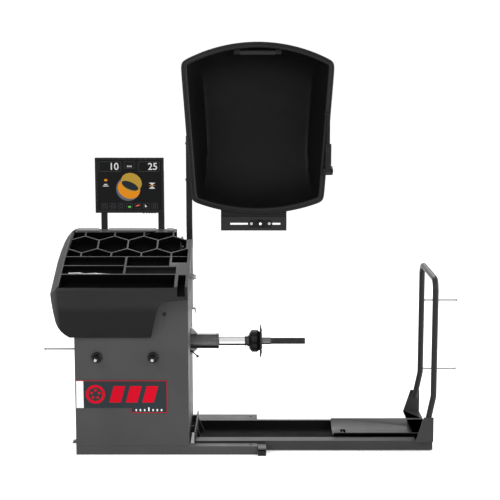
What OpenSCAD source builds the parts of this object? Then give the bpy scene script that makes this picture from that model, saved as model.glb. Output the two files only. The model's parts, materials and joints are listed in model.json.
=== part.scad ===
// Wheel balancer for truck wheels: a sheet steel cabinet with a horizontal spindle, a weight
// tray hood, a monitor, a swinging wheel guard and a wheel lift with a sliding trolley.
// Origin: on the floor, under the spindle axis, half way across the cabinet.
// +X runs along the spindle, away from the cabinet. +Y points to the back. +Z is up.

/* [Base] */
// Height of the base frame
base_h = 46; // [42:1:50]
// How far the base reaches beyond the cabinet, under the spindle
base_reach = 360; // [340:5:380]
// Radius of the four floor anchor holes
anchor_r = 7; // [6:0.5:8]

/* [Cabinet] */
// Width of the cabinet
cab_w = 592; // [588:1:600]
// Front face, measured forward from the spindle axis
cab_front = 300; // [296:1:304]
// Rear face, measured backward from the spindle axis
cab_rear = 200; // [198:1:202]
// Height of the top edge of the cabinet's walls
cab_top = 860; // [850:1:862]
// Thickness of the sheet steel
sheet = 3; // [2:0.5:3]

/* [Tray hood] */
// Height of the tray's front lip
lip_z = 900; // [895:1:905]
// Height of the tray's back edge
tray_back_z = 1130; // [1120:1:1140]
// Thickness of the tray, pockets included
slab = 70; // [65:1:72]
// Distance between two walls of the honeycomb
hex_pitch = 160; // [150:1:162]
// Thickness of the honeycomb's walls
hex_wall = 9; // [6:1:12]

/* [Spindle] */
// Height of the spindle axis above the floor
axis_z = 545; // [540:1:550]
// Diameter of the plain part of the shaft
shaft_d = 40; // [38:0.5:42]
// Outer diameter of the threaded part
thread_d = 36; // [34:0.5:36]
// Diameter of the flange disc
disc_d = 176; // [160:2:190]
// Diameter of the spindle housing
housing_d = 83; // [81:1:84]
// Radial clearance of every running fit
fit = 0.05; // [0.02:0.01:0.08]

/* [Guard] */
// Height of the guard's hinge axis
guard_pivot_z = 1040; // [1035:1:1045]
// Distance of the guard's hinge axis behind the spindle
guard_pivot_y = 300; // [296:1:304]
// Width of the guard at its top corners
guard_top_w = 832; // [800:2:836]
// Width of the guard at its bottom corners
guard_bottom_w = 728; // [700:2:730]
// Width of the guard's rim band
guard_rim = 34; // [28:1:38]
// Depth of the guard behind its rim
guard_depth = 330; // [300:5:340]

/* [Lift] */
// Length of the lift's rails
lift_len = 1262; // [1250:2:1270]
// Length of the trolley
trolley_len = 517; // [510:1:520]
// Diameter of the hoop's tube
hoop_d = 32; // [28:1:34]
// Height of the hoop's top bar, at its centre
hoop_z = 920; // [880:5:940]

/* [Hidden] */
$fn = 64;
e = 0.5;                          // how far a cut runs past the face it leaves

wall_x = cab_w / 2;               // outer face of the cabinet's side walls
base_end = wall_x + base_reach;   // right end of the base
base_front_w = 55;                // width of the base's front member
base_rear_y = 185;                // front edge of the base's rear member
base_back = 310;                  // back edge of the base
anchor_y = 270;                   // anchor holes, in front of and behind the spindle
anchor_x0 = -250;                 // anchor holes under the cabinet
anchor_x1 = 620;                  // anchor holes in the base's right end

hood_front_y = -390;              // most forward point of the hood
hood_back_y = cab_rear + 6;       // back face of the hood
hood_wall = 4;                    // wall of the hood
hood_right = wall_x + 4;          // right face of the hood
hood_bottom = 630;                // lower edge of the hood's front
tray_slope = atan((tray_back_z - lip_z) / (hood_back_y - hood_front_y));
tray_len = (hood_back_y - hood_front_y) / cos(tray_slope);
tray_left = -361;                 // left ends of the front bins
hex_r = (hex_pitch / 2 - hex_wall / 2) / cos(30);
hex_row_v = 465;                  // middle of the full row of hexagons, along the slope
hex_first_x = -283;               // centre of the first hexagon in the full row
hex_row_step = hex_pitch / 2 / cos(30) * 1.5;

sleeve_end = wall_x + 152;        // right end of the spindle housing
inner_d = 45;                     // diameter of the shaft inside the housing
saddle_d = housing_d + 16;         // diameter of the saddle under the housing
bearing_d = 75;                   // outer diameter of the two bearings
hub_x = 611;                      // back face of the flange hub
disc_x = 669;                     // back face of the flange disc
disc_t = 9;                       // thickness of the flange disc
pilot_x = disc_x + disc_t + 3;    // front of the disc's pilot ring
seat_d = shaft_d + 2;             // diameter of the shaft under the spacer, hub and disc
plain_end = 728;                  // end of the plain shaft
shaft_end = 915;                  // free end of the threaded shaft
pulley_x = -78;                   // left face of both pulleys
pulley_w = 24;                    // width of both pulleys
pulley_d = 160;                   // diameter of the spindle's pulley
motor_pulley_d = 50;              // diameter of the motor's pulley
motor_z = 300;                    // height of the motor's axis
motor_shaft_d = 19;               // diameter of the motor's shaft

gauge_y = -100;                   // distance gauge's axis
gauge_z = 914;
gauge_rod_d = 14;
lever_y = -70;                    // lock lever's axis
lever_z = 502;

guard_cx = 658;                   // middle of the guard
guard_rim_y = 226;                // front face of the guard's rim
guard_top_z = 2040;               // top corners
guard_bottom_z = 1280;            // bottom corners
guard_top_rise = 110;             // rise of the top edge between its corners
guard_bottom_drop = 70;           // drop of the bottom edge between its corners
guard_corner = 60;                // radius of the corners
guard_wall = 5;
guard_arm_x = 279;                // middle of the guard's arm
guard_arm_w = 33;
pivot_d = 30;                     // diameter of the guard's hinge shaft
width_x = 1044;                   // middle of the width gauge
width_y = 205;
width_z = 1450;                   // width gauge's hinge axis
width_pin_d = 10;

monitor_x0 = -222;
monitor_x1 = 150;
monitor_z0 = 1230;
monitor_z1 = 1530;
monitor_y0 = 105;                 // front face of the monitor
button_x0 = 39;                   // first of the five monitor buttons
button_pitch = 15;
post_x = [-187, 127];
post_y0 = cab_rear + 8;
peg_z = 524;                      // height of the two front pegs

screw_z = [90, 320, 550, 775];    // heights of the rear panel's screws

lift_x0 = wall_x + 25;            // left end of the lift's rails
lift_x1 = lift_x0 + lift_len;
rail_front_y = -235;
rail_back_y = 175;
rail_z0 = 5;
rail_z1 = 56;
arm_y = 100;                      // the lift's two arms and columns, each side of the spindle
arm_t = 12;
arm_top = 100;
carriage_z0 = 62;
carriage_z1 = 150;
column_x = 225;
column_d = 30;
cylinder_y = 156;
cylinder_top = 400;
trolley_x1 = lift_x1;
trolley_x0 = trolley_x1 - trolley_len;
roller_d = 18;
roller_z = 9.3 + roller_d / 2;
hoop_x = 1582;                    // hoop's straight legs
hoop_near_y = -240;
hoop_far_y = 290;
hoop_bend = 60;                   // radius of the hoop's bends, at the tube's middle
pedal_x0 = base_end + 1;
pedal_x1 = base_end + 45;
pedal_y0 = -323;
pedal_y1 = -240;

// A box between two corners
module block(x, y, z)
    translate([x[0], y[0], z[0]])
        cube([x[1] - x[0], y[1] - y[0], z[1] - z[0]]);

// Round bars along X, Y and Z
module xrod(x, d, y, z)
    translate([x[0], y, z])
        rotate([0, 90, 0])
            cylinder(h = x[1] - x[0], d = d);
module yrod(y, d, x, z)
    translate([x, y[1], z])
        rotate([90, 0, 0])
            cylinder(h = y[1] - y[0], d = d);
module zrod(z, d, x, y)
    translate([x, y, z[0]])
        cylinder(h = z[1] - z[0], d = d);

// A bush along X: a round bar with a bore
module xring(x, d, bore, y, z)
    difference() {
        xrod(x, d, y, z);
        xrod([x[0] - e, x[1] + e], bore, y, z);
    }

// An outline in Y and Z carried along X, and one in X and Z carried along Y
module along_x(x, points)
    translate([x[0], 0, 0])
        rotate([90, 0, 90])
            linear_extrude(x[1] - x[0])
                polygon(points);
module along_y(y, points)
    translate([0, y[1], 0])
        rotate([90, 0, 0])
            linear_extrude(y[1] - y[0])
                polygon(points);

// Points on a quadratic curve from a to c, pulled towards b
function bend(a, b, c, n) =
    [for (i = [0:n]) let (t = i / n) (1 - t) * (1 - t) * a + 2 * t * (1 - t) * b + t * t * c];

// Height of the tray's surface at a depth y
function tray_z(y) = lip_z + (y - hood_front_y) * tan(tray_slope);

// ---- base ----
module base_frame() color("#4c4d4f") {
    foot = 6;
    difference() {
        union() {
            block([-wall_x, wall_x], [-cab_front, base_back], [0, base_h]);
            block([wall_x - 1, base_end], [-cab_front, -cab_front + base_front_w], [0, base_h]);
            block([wall_x - 1, base_end], [base_rear_y, base_back], [0, base_h]);
        }
        // hollow folded pan and box members
        block([-wall_x + foot, wall_x - foot], [-cab_front + foot, base_back - foot],
            [foot, base_h - foot]);
        block([wall_x - foot - 1, base_end - foot],
            [-cab_front + foot, -cab_front + base_front_w - foot], [foot, base_h - foot]);
        block([wall_x - foot - 1, base_end - foot],
            [base_rear_y + foot, base_back - foot], [foot, base_h - foot]);
        for (x = [anchor_x0, anchor_x1], y = [-anchor_y, anchor_y])
            zrod([-e, base_h + e], 2 * anchor_r, x, y);
    }
    // anchor lug on the left side
    lug = 48;
    along_y([-95, -55], [[-wall_x + 1, 0], [-wall_x + 1, 22], [-wall_x - lug, 6], [-wall_x - lug, 0]]);
}

// ---- cabinet ----
module cabinet_shell() color("#515254") difference() {
    block([-wall_x, wall_x], [-cab_front, cab_rear - sheet], [base_h, cab_top]);
    block([-wall_x + sheet, wall_x - sheet], [-cab_front + sheet, cab_rear + e],
        [base_h - e, cab_top + e]);
    // openings in the right wall: the housing, the lock lever and the lift's two arms
    xrod([wall_x - 5, wall_x + 5], housing_d + 3, 0, axis_z);
    xrod([wall_x - 5, wall_x + 5], 10 + 2 * fit, lever_y, lever_z);
    for (side = [-1, 1])
        block([wall_x - 5, wall_x + 5], [side * arm_y - 9, side * arm_y + 9], [base_h + 8, 620]);
    // holes for the hangers and the plug
    for (x = [-179, 113])
        yrod([-cab_front - 5, -cab_front + 5], 12, x, peg_z);
    yrod([-cab_front - 5, -cab_front + 5], 10, 174, 752);
    xrod([-wall_x - 5, -wall_x + 5], 10, -130, 530);
    xrod([-wall_x - 5, -wall_x + 5], 10, 160, 700);
}

// One round bar at each of the rear panel's screws
module panel_holes(d)
    for (x = [-wall_x + 15, wall_x - 15], z = screw_z)
        yrod([cab_rear - 16, cab_rear + 1], d, x, z);
module rear_panel() color("#4a4b4d") difference() {
    union() {
        block([-wall_x, wall_x], [cab_rear - sheet, cab_rear], [base_h, cab_top]);
        for (x = [-wall_x + 8, wall_x - 22])
            block([x, x + 14], [cab_rear - sheet - 12, cab_rear - sheet + 1], [base_h + 6, cab_top - 10]);
    }
    // cooling louvres
    for (i = [0:9])
        block([-220, -60], [cab_rear - 6, cab_rear + 2], [430 + 22 * i, 438 + 22 * i]);
    // power inlet and switch
    block([-235, -187], [cab_rear - 6, cab_rear + 2], [119, 147]);
    block([-170, -142], [cab_rear - 6, cab_rear + 2], [122, 144]);
    panel_holes(7);
}

module panel_screws() color("#2b2c2e") {
    panel_holes(6.9);
    for (x = [-wall_x + 15, wall_x - 15], z = screw_z)
        yrod([cab_rear, cab_rear + 4], 13, x, z);
}

// Pegs that hold cones and clamping nuts
module cone_hanger_bases() color("#1b1b1c")
    for (x = [-179, 113]) difference() {
        union() {
            yrod([-cab_front - 8, -cab_front], 58, x, peg_z);
            yrod([-cab_front - 60, -cab_front - 7], 30, x, peg_z);
            translate([x, -cab_front - 8, peg_z])
                rotate([90, 0, 0])
                    cylinder(h = 8, d1 = 46, d2 = 30);
        }
        yrod([-cab_front - 61, -cab_front + 1], 16, x, peg_z);
    }
module cone_hanger_rods() color("#c9cacc")
    for (x = [-179, 113]) {
        yrod([-cab_front - 75, -cab_front + 0], 15.9, x, peg_z);
        yrod([-cab_front - 0.1, -cab_front + 14], 11, x, peg_z);
    }
module side_hangers() color("#b9babc")
    for (p = [[-130, 530], [160, 700]]) {
        xrod([-478, -wall_x + sheet], 9.8, p[0], p[1]);
        xrod([-478, -474], 20, p[0], p[1]);
        xrod([-wall_x - 5, -wall_x], 22, p[0], p[1]);
    }

module badge_plate() color("#2d2f33")
    along_y([-cab_front - 3, -cab_front], [[-290, 401], [184, 401], [184, 228], [-6, 228],
        [-6, 254], [-290, 254]]);

module wall_plug() color("#2a2b2d") {
    translate([174, -cab_front, 752])
        rotate([90, 30, 0])
            cylinder(h = 6, d = 18, $fn = 6);
    yrod([-cab_front - 0.5, -cab_front + 8], 9.8, 174, 752);
}

// ---- weight tray hood ----
front_curve = bend([-cab_front - 14, hood_bottom], [-cab_front - 44, hood_bottom + 60],
    [hood_front_y, lip_z - 16], 8);
under_z = slab + 4;               // vertical thickness of the tray
// Side outline of the hood, and of the hollow inside its walls
hood_side = concat(
    front_curve,
    bend([hood_front_y, lip_z - 12], [hood_front_y + 1, lip_z], [hood_front_y + 16, lip_z + 6], 3),
    [[hood_back_y, tray_z(hood_back_y)], [hood_back_y, 800]]);
hollow_side = concat(
    [[-cab_front - 14 + hood_wall, hood_bottom - 80]],
    [for (p = front_curve) [p[0] + hood_wall, min(p[1], tray_z(p[0] + hood_wall) - under_z)]],
    [[hood_back_y - hood_wall, tray_z(hood_back_y - hood_wall) - under_z],
        [hood_back_y - hood_wall, hood_bottom - 80]]);
function hood_face(w) = concat(
    [[100 - w, hood_bottom - 20 * w]],
    bend([104 - w, hood_bottom + 6 + w], [134 - w, 812 + w], [170 - w, 828 + w], 7),
    [[hood_right - w / 2, 842 + w], [hood_right - w / 2, 1200], [-344 + w, 1200]],
    bend([-344 + w, 1130], [-400 + w, 1105], [-406 + w, 990], 5),
    bend([-402 + w, 890], [-398 + w, 800], [-384 + w, 722], 3),
    bend([-381 + w, 710], [-368 + w, 660], [-317 + w, hood_bottom - 20 * w], 4));

// Places a shape on the tray: x along the machine, v up the slope, z out of the surface
module on_tray(v)
    translate([0, hood_front_y, lip_z])
        rotate([tray_slope, 0, 0])
            translate([0, v, 0])
                children();
module pocket(x, v, depth)
    on_tray(0)
        block(x, v, [-depth, 40]);
module hex_pocket(x, v, depth)
    on_tray(v)
        translate([x, 0, -depth])
            rotate([0, 0, 30])
                cylinder(h = depth + 60, r = hex_r, $fn = 6);

module tray_hood() color("#232425") {
    rear_v = tray_len - 38;       // back ends of the tray's pockets
    bins_v = 336;                 // where the honeycomb meets the bins
    difference() {
        intersection() {
            along_x([-420, hood_right], hood_side);
            along_y([hood_front_y - 10, hood_back_y + 10], hood_face(0));
        }
        intersection() {
            along_x([-420, hood_right - hood_wall / 2], hollow_side);
            along_y([hood_front_y - 10, hood_back_y + 10], hood_face(hood_wall));
        }
        block([-wall_x - 1, wall_x + 0.5], [-cab_front - 1, cab_rear + 2.5], [400, cab_top + 2]);
        // sloping left shoulder
        on_tray(-20)
            rotate([-90, 0, 0])
                linear_extrude(tray_len + 40)
                    polygon([[-430, 46], [-430, -60], [-368, -60], [-368, 0]]);
        // honeycomb
        intersection() {
            union() {
                for (i = [0:3])
                    hex_pocket(hex_first_x + i * hex_pitch, hex_row_v, 45);
                for (i = [-0.5:1:3.5], row = [-1, 1])
                    hex_pocket(hex_first_x + i * hex_pitch, hex_row_v + row * hex_row_step, 45);
            }
            on_tray(0)
                block([tray_left, 284], [bins_v, rear_v], [-60, 60]);
        }
        // long trays, ledge and front bin
        pocket([tray_left, -44], [242, bins_v - 8], 30);
        pocket([tray_left, -44], [154, 234], 26);
        pocket([-32, 192], [234, bins_v - 8], 34);
        pocket([-32, 230], [154, 226], 8);
        pocket([tray_left, 228], [14, 144], 56);
        pocket([204, 284], [270, 330], 52);
        pocket([246, 284], [-10, 140], 40);
        // notch for the guard's arm, and the step it rests above when the guard is down
        block([236, hood_right + 1], [111, hood_back_y + 1], [1028, 1200]);
        block([257, hood_right + 1], [97, 112], [1084, 1200]);
        block([214, hood_right + 1], [122, hood_back_y + 1], [1078, 1200]);
        // way out for the distance gauge
        xrod([hood_right - 20, hood_right + 1], 30, gauge_y, gauge_z);
    }
    // upstand along the back, open at the monitor's posts and at the guard's arm
    for (x = [[-332, -213], [-158, 101], [160, 198]])
        on_tray(0)
            block(x, [tray_len - 26, tray_len - 18], [-2, 17]);
}

// ---- monitor ----
module monitor_posts() color("#1d1d1e")
    for (x = post_x) {
        block([x - 17, x + 17], [post_y0, post_y0 + 25], [740, 1450]);
        block([x - 17, x + 17], [monitor_y0 + 50, post_y0 + 1], [1330, 1420]);
        block([x - 20, x + 20], [cab_rear, post_y0 + 1], [740, 795]);
    }
module monitor_housing() color("#161617") difference() {
    union() {
        block([monitor_x0, monitor_x1], [monitor_y0, monitor_y0 + 22], [monitor_z0, monitor_z1]);
        along_x([monitor_x0 + 8, monitor_x1 - 8], [
            [monitor_y0 + 21, monitor_z0 + 8], [monitor_y0 + 50, monitor_z0 + 50],
            [monitor_y0 + 50, monitor_z1 - 50], [monitor_y0 + 21, monitor_z1 - 8]]);
    }
    block([monitor_x0 + 14, monitor_x1 - 14], [monitor_y0 - e, monitor_y0 + 8],
        [monitor_z0 + 16, monitor_z1 - 14]);
    for (i = [0:4])
        block([button_x0 + i * button_pitch - 4.3, button_x0 + i * button_pitch + 4.3],
            [monitor_y0 + 4, monitor_y0 + 11], [monitor_z0 - e, monitor_z0 + 8]);
}
module monitor_screen() color("#33353a")
    block([monitor_x0 + 14, monitor_x1 - 14], [monitor_y0 + 3, monitor_y0 + 8],
        [monitor_z0 + 16, monitor_z1 - 14]);
module monitor_button(i) color("#2a2a2b")
    block([button_x0 + i * button_pitch - 4, button_x0 + i * button_pitch + 4],
        [monitor_y0 + 4.3, monitor_y0 + 10.7], [monitor_z0 - 3, monitor_z0 + 5]);
module monitor_button_1() monitor_button(0);
module monitor_button_2() monitor_button(1);
module monitor_button_3() monitor_button(2);
module monitor_button_4() monitor_button(3);
module monitor_button_5() monitor_button(4);

// ---- spindle ----
bearing_x = [[-34, -9], [sleeve_end - 40, sleeve_end - 15]];
module spindle_housing() color("#3b3c3e") difference() {
    union() {
        xrod([-40, sleeve_end], housing_d, 0, axis_z);
        xrod([sleeve_end - 12, sleeve_end - 4], housing_d + 3, 0, axis_z);
        xrod([-40, -28], housing_d + 26, 0, axis_z);
    }
    xrod([-41, sleeve_end - 14], bearing_d, 0, axis_z);
    xrod([-41, sleeve_end + 1], 56, 0, axis_z);
}
module spindle_collar() color("#b4b5b7") difference() {
    translate([wall_x, 0, axis_z])
        rotate([0, 90, 0])
            cylinder(h = 34, d1 = 156, d2 = housing_d + 8);
    xrod([wall_x - 1, wall_x + 35], housing_d + 0.1, 0, axis_z);
    // open at the front
    block([wall_x - 1, wall_x + 35], [-90, -12], [axis_z - 90, axis_z + 90]);
}
module spindle_bearings() color("#8b8d90")
    for (x = bearing_x)
        difference() {
            xring(x, bearing_d - 0.04, inner_d + 2 * fit, 0, axis_z);
            // the groove between the two races
            difference() {
                xrod([x[0] - 1, x[0] + 2], 68, 0, axis_z);
                xrod([x[0] - 1, x[0] + 3], 54, 0, axis_z);
            }
        }
module spindle_stand() color("#5a5b5d") {
    stand_top = axis_z - saddle_d / 2 - 2;
    difference() {
        block([-20, 150], [-70, 70], [base_h, stand_top]);
        block([-14, 144], [-64, 64], [base_h - e, stand_top - 6]);
        block([-21, 151], [-40, 40], [140, 420]);
    }
    // saddle
    difference() {
        block([-10, 140], [-60, 60], [stand_top - 1, axis_z - 6]);
        xrod([-11, 141], saddle_d, 0, axis_z);
    }
}
module force_sensors() color("#a9aaac")
    for (x = [15, 115])
        difference() {
            intersection() {
                zrod([axis_z - 60, axis_z - 36], 34, x, 0);
                xrod([x - 20, x + 20], saddle_d, 0, axis_z);
            }
            xrod([x - 21, x + 21], housing_d + 0.02, 0, axis_z);
        }
module spindle_shaft() color("#8d9094") {
    xrod([-96, sleeve_end + 0.5], inner_d, 0, axis_z);
    xrod([sleeve_end, pilot_x], seat_d, 0, axis_z);
    xrod([pilot_x - 1, plain_end], shaft_d, 0, axis_z);
    xrod([plain_end, shaft_end - 5], thread_d, 0, axis_z);
    translate([shaft_end - 5, 0, axis_z])
        rotate([0, 90, 0])
            cylinder(h = 5, d1 = thread_d, d2 = thread_d - 8);
}
module spindle_spacer() color("#d5d6d8") difference() {
    union() {
        xrod([sleeve_end + 1, 590], 52, 0, axis_z);
        xrod([590, 596], 58, 0, axis_z);
        xrod([596, 602], 52, 0, axis_z);
        xrod([602, hub_x], 62, 0, axis_z);
    }
    xrod([sleeve_end, hub_x + 1], seat_d + 0.04, 0, axis_z);
}
module flange_hub() color("#1c1c1d") difference() {
    union() {
        translate([hub_x, 0, axis_z]) rotate([0, 90, 0]) cylinder(h = 14, d1 = 84, d2 = 121);
        xrod([hub_x + 14, disc_x - 14], 121, 0, axis_z);
        translate([disc_x - 14, 0, axis_z]) rotate([0, 90, 0]) cylinder(h = 14, d1 = 121, d2 = 100);
    }
    xrod([hub_x - 1, disc_x + 1], seat_d + 0.04, 0, axis_z);
    // grip flutes round the hub
    for (a = [0:45:315])
        translate([0, 0, axis_z]) rotate([a, 0, 0]) xrod([hub_x + 10, disc_x - 8], 16, 0, 64);
}
module flange_disc() color("#1c1c1d") difference() {
    union() {
        xrod([disc_x, disc_x + disc_t], disc_d, 0, axis_z);
        xrod([disc_x + disc_t - 1, pilot_x], 90, 0, axis_z);
    }
    xrod([disc_x - 1, disc_x + disc_t + 4], seat_d + 0.04, 0, axis_z);
    for (a = [45:90:315])
        translate([0, 0, axis_z]) rotate([a, 0, 0])
            xrod([disc_x - 1, disc_x + disc_t + 1], 12, 0, 68);
}
module spindle_pulley() color("#707274") difference() {
    xrod([pulley_x, pulley_x + pulley_w], pulley_d, 0, axis_z);
    xrod([pulley_x - 1, pulley_x + pulley_w + 1], inner_d + 0.04, 0, axis_z);
    for (a = [0:60:300])
        translate([0, 0, axis_z]) rotate([a, 0, 0])
            xrod([pulley_x - 1, pulley_x + pulley_w + 1], 24, 0, 52);
}
module encoder_disc() color("#9fb0a6") difference() {
    xrod([-90, -86], 120, 0, axis_z);
    xrod([-91, -85], inner_d + 0.04, 0, axis_z);
    for (a = [0:10:350])
        translate([0, 0, axis_z]) rotate([a, 0, 0])
            block([-91, -85], [-2, 2], [50, 56]);
}

// Brake lever: a pin through the right wall, a short bent arm and a ball
module lock_lever() color("#1b1b1c") {
    xrod([wall_x - 30, wall_x + 12], 10, lever_y, lever_z);
    xrod([wall_x - 34, wall_x - 28], 20, lever_y, lever_z);
    xrod([wall_x + 4, wall_x + 14], 14, lever_y, lever_z);
    translate([wall_x + 9, lever_y, lever_z])
        rotate([0, 132, 0]) {
            cylinder(h = 37, d = 7);
            translate([0, 0, 32])
                rotate_extrude()
                    polygon([[0, 0], [4, 0], [6.5, 3], [7.5, 7], [6.5, 11], [4, 14], [0, 14]]);
        }
}

// ---- drive ----
module motor() color("#46494d") {
    difference() {
        union() {
            xrod([-250, -100], 124, 0, motor_z);
            xrod([-262, -249], 104, 0, motor_z);
            xrod([-101, -92], 80, 0, motor_z);
            block([-230, -120], [-56, 56], [base_h, motor_z - 40]);
        }
        block([-216, -134], [-48, 48], [base_h - 1, motor_z - 66]);
        xrod([-180, -90], motor_shaft_d + 2 * fit, 0, motor_z);
    }
    block([-200, -150], [-20, 20], [motor_z + 58, motor_z + 84]);
}
module motor_pulley() color("#707274") {
    xrod([pulley_x, pulley_x + pulley_w], motor_pulley_d, 0, motor_z);
    for (x = [pulley_x - 2, pulley_x + pulley_w])
        xrod([x, x + 2], motor_pulley_d + 8, 0, motor_z);
    xrod([-170, pulley_x], motor_shaft_d, 0, motor_z);
}
module belt_path(grow)
    hull() {
        translate([0, axis_z]) circle(d = pulley_d + 2 * grow, $fn = 96);
        translate([0, motor_z]) circle(d = motor_pulley_d + 2 * grow, $fn = 96);
    }
module drive_belt() color("#141414")
    translate([pulley_x + 4, 0, 0])
        rotate([90, 0, 90])
            linear_extrude(pulley_w - 8)
                difference() {
                    belt_path(3.5);
                    belt_path(0.35);
                }

// ---- electrics ----
module control_box() color("#8e9092") {
    x0 = -wall_x + sheet;
    difference() {
        block([x0, x0 + 60], [-180, 120], [520, 800]);
        block([x0 + 2, x0 + 56], [-178, 118], [522, 798]);
    }
    block([x0 + 8, x0 + 10], [-160, 100], [540, 780]);
    for (y = [-120, -60, 0])
        zrod([700, 760], 30, x0 + 30, y);
}
module power_inlet() color("#1a1a1a") difference() {
    union() {
        block([-240, -182], [cab_rear, cab_rear + 3], [114, 152]);
        block([-234.5, -187.5], [cab_rear - 26, cab_rear + 1], [119.5, 146.5]);
    }
    block([-228, -194], [cab_rear - 20, cab_rear + 4], [123, 143]);
}
module power_rocker() color("#8c1f1c")
    translate([0, cab_rear - 2, 133])
        rotate([-8, 0, 0]) {
            block([-167, -145], [-6, 6], [-9, 9]);
            xrod([-169, -143], 4, 0, 0);
        }

// ---- distance gauge ----
module gauge_guide() color("#6d6f71") {
    xring([40, wall_x + 3], 24, gauge_rod_d + 2 * fit, gauge_y, gauge_z);
    // brackets down to the cabinet's front wall
    for (x = [60, 250])
        difference() {
            along_x([x, x + 6], [[-cab_front + sheet, 780], [-cab_front + sheet + 30, 780],
                [gauge_y + 18, gauge_z - 20], [gauge_y + 18, gauge_z + 12],
                [gauge_y - 18, gauge_z + 12], [-cab_front + sheet, 846]]);
            xrod([x - 1, x + 7], 24, gauge_y, gauge_z);
        }
}
module gauge_rod() color("#c4c6c8") {
    xrod([-262, wall_x + 34], gauge_rod_d, gauge_y, gauge_z);
    xrod([wall_x + 4, wall_x + 8], 26, gauge_y, gauge_z);
    xrod([wall_x + 25.5, wall_x + 34], 26, gauge_y, gauge_z);
    xrod([-266, -262], 24, gauge_y, gauge_z);
}
module gauge_arm() color("#b2b4b6") {
    x0 = wall_x + 8.5;
    x1 = wall_x + 25;
    difference() {
        union() {
            xrod([x0, x1], 32, gauge_y, gauge_z);
            block([x0 + 2, x0 + 9], [gauge_y - 9, gauge_y + 9], [gauge_z - 168, gauge_z - 10]);
            block([x0 + 3, x0 + 10], [gauge_y - 5, gauge_y + 5], [gauge_z + 10, gauge_z + 48]);
        }
        xrod([x0 - 1, x1 + 1], gauge_rod_d + 2 * fit, gauge_y, gauge_z);
    }
    // measuring tip with its hook
    xrod([x0, x1 + 6], 12, gauge_y, gauge_z - 170);
    zrod([gauge_z - 196, gauge_z - 168], 6, x1 + 3, gauge_y);
}

// ---- guard ----
module guard_pivot_brackets() color("#3a3b3d")
    for (x = [150, 232])
        difference() {
            union() {
                along_x([x, x + 10], [[cab_rear + 1, 700], [cab_rear + 60, 700],
                    [guard_pivot_y + 34, guard_pivot_z - 60], [guard_pivot_y + 34, guard_pivot_z],
                    [guard_pivot_y - 34, guard_pivot_z], [hood_back_y + 2, guard_pivot_z - 60],
                    [hood_back_y + 2, 796], [cab_rear + 1, 796]]);
                xrod([x, x + 10], 68, guard_pivot_y, guard_pivot_z);
                block([x, x + 32], [cab_rear, cab_rear + 6], [700, 790]);
            }
            xrod([x - 1, x + 11], pivot_d + 2 * fit, guard_pivot_y, guard_pivot_z);
        }
// Half the guard's width at a height z
function guard_half(z) = guard_bottom_w / 2 - 5
    + (z - guard_bottom_z + 90) * (guard_top_w - guard_bottom_w + 26) / 2
    / (guard_top_z - guard_bottom_z + 148);
// Edge of the guard seen from the front, pulled in by a margin
module guard_outline(margin)
    offset(r = guard_corner, $fn = 24)
        offset(delta = -guard_corner - margin)
            intersection() {
                polygon([
                    [-guard_top_w / 2 - 8, guard_top_z + 58], [guard_top_w / 2 + 8, guard_top_z + 58],
                    [guard_top_w / 2 + 8, guard_top_z + 200], [-guard_top_w / 2 - 8, guard_top_z + 200],
                    [-guard_top_w / 2 - 8, guard_top_z + 58], [-guard_bottom_w / 2 + 5, guard_bottom_z - 90],
                    [guard_bottom_w / 2 - 5, guard_bottom_z - 90], [guard_top_w / 2 + 8, guard_top_z + 58]]);
                arc_cap(guard_top_w / 2, guard_top_rise, guard_top_z, 1);
                arc_cap(guard_bottom_w / 2, guard_bottom_drop, guard_bottom_z, -1);
            }
// Large circle through two corners and the middle of the edge between them
module arc_cap(half, rise, z, side) {
    r = (half * half + rise * rise) / 2 / rise;
    translate([0, z + side * (rise - r)])
        circle(r = r, $fn = 96);
}
guard_mid_z = (guard_top_z + guard_top_rise + guard_bottom_z - guard_bottom_drop) / 2;
// The guard's tub: slices that shrink towards the back
module guard_tub(margin, back)
    hull()
        for (s = [[0, 1, 1], [0.45, 0.93, 0.95], [0.8, 0.87, 0.83], [1, 0.80, 0.64]])
            translate([guard_cx, guard_rim_y + 12 + s[0] * back, 0])
                rotate([90, 0, 0])
                    linear_extrude(1)
                        translate([0, guard_mid_z * (1 - s[2])])
                            scale([s[1], s[2]])
                                guard_outline(margin);
module guard_shell() color("#1e1e1f") {
    difference() {
        guard_tub(guard_rim - guard_wall, guard_depth - 12);
        guard_tub(guard_rim, guard_depth - 12 - guard_wall);
        // open front
        block([200, 1120], [guard_rim_y - 20, guard_rim_y + 11.5], [1150, 2200]);
    }
    translate([guard_cx, guard_rim_y + 12, 0])
        rotate([90, 0, 0])
            linear_extrude(12)
                difference() {
                    guard_outline(0);
                    guard_outline(guard_rim - 1.5);
                }
}
module guard_handle() color("#2b2b2c") {
    z = guard_top_z + 51;
    xrod([guard_cx - 130, guard_cx + 130], 24, guard_rim_y + 40, z);
    for (x = [guard_cx - 114, guard_cx + 114])
        zrod([z, z + 30], 16, x, guard_rim_y + 40);
}
module guard_arm() color("#28292a") {
    x = [guard_arm_x - guard_arm_w / 2, guard_arm_x + guard_arm_w / 2];
    y = guard_pivot_y;
    // hub and hinge shaft
    xrod(x, 60, y, guard_pivot_z);
    xrod([120, x[0] + 1], pivot_d, y, guard_pivot_z);
    xrod([112, 120], 44, y, guard_pivot_z);
    // upright tube, leaning to the rim
    along_x(x, [[y - 22, guard_pivot_z - 6], [y + 22, guard_pivot_z + 6],
        [guard_rim_y + 62, 1160], [guard_rim_y + 62, 1640], [guard_rim_y + 24, 1640],
        [guard_rim_y + 24, 1160]]);
    // foot plates that reach the tub's side wall
    for (z = [1380, 1580])
        block([x[1] - 1, guard_cx - (guard_half(z) - guard_rim + guard_wall) * 0.99],
            [guard_rim_y + 28, guard_rim_y + 58], [z, z + 36]);
}
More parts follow.
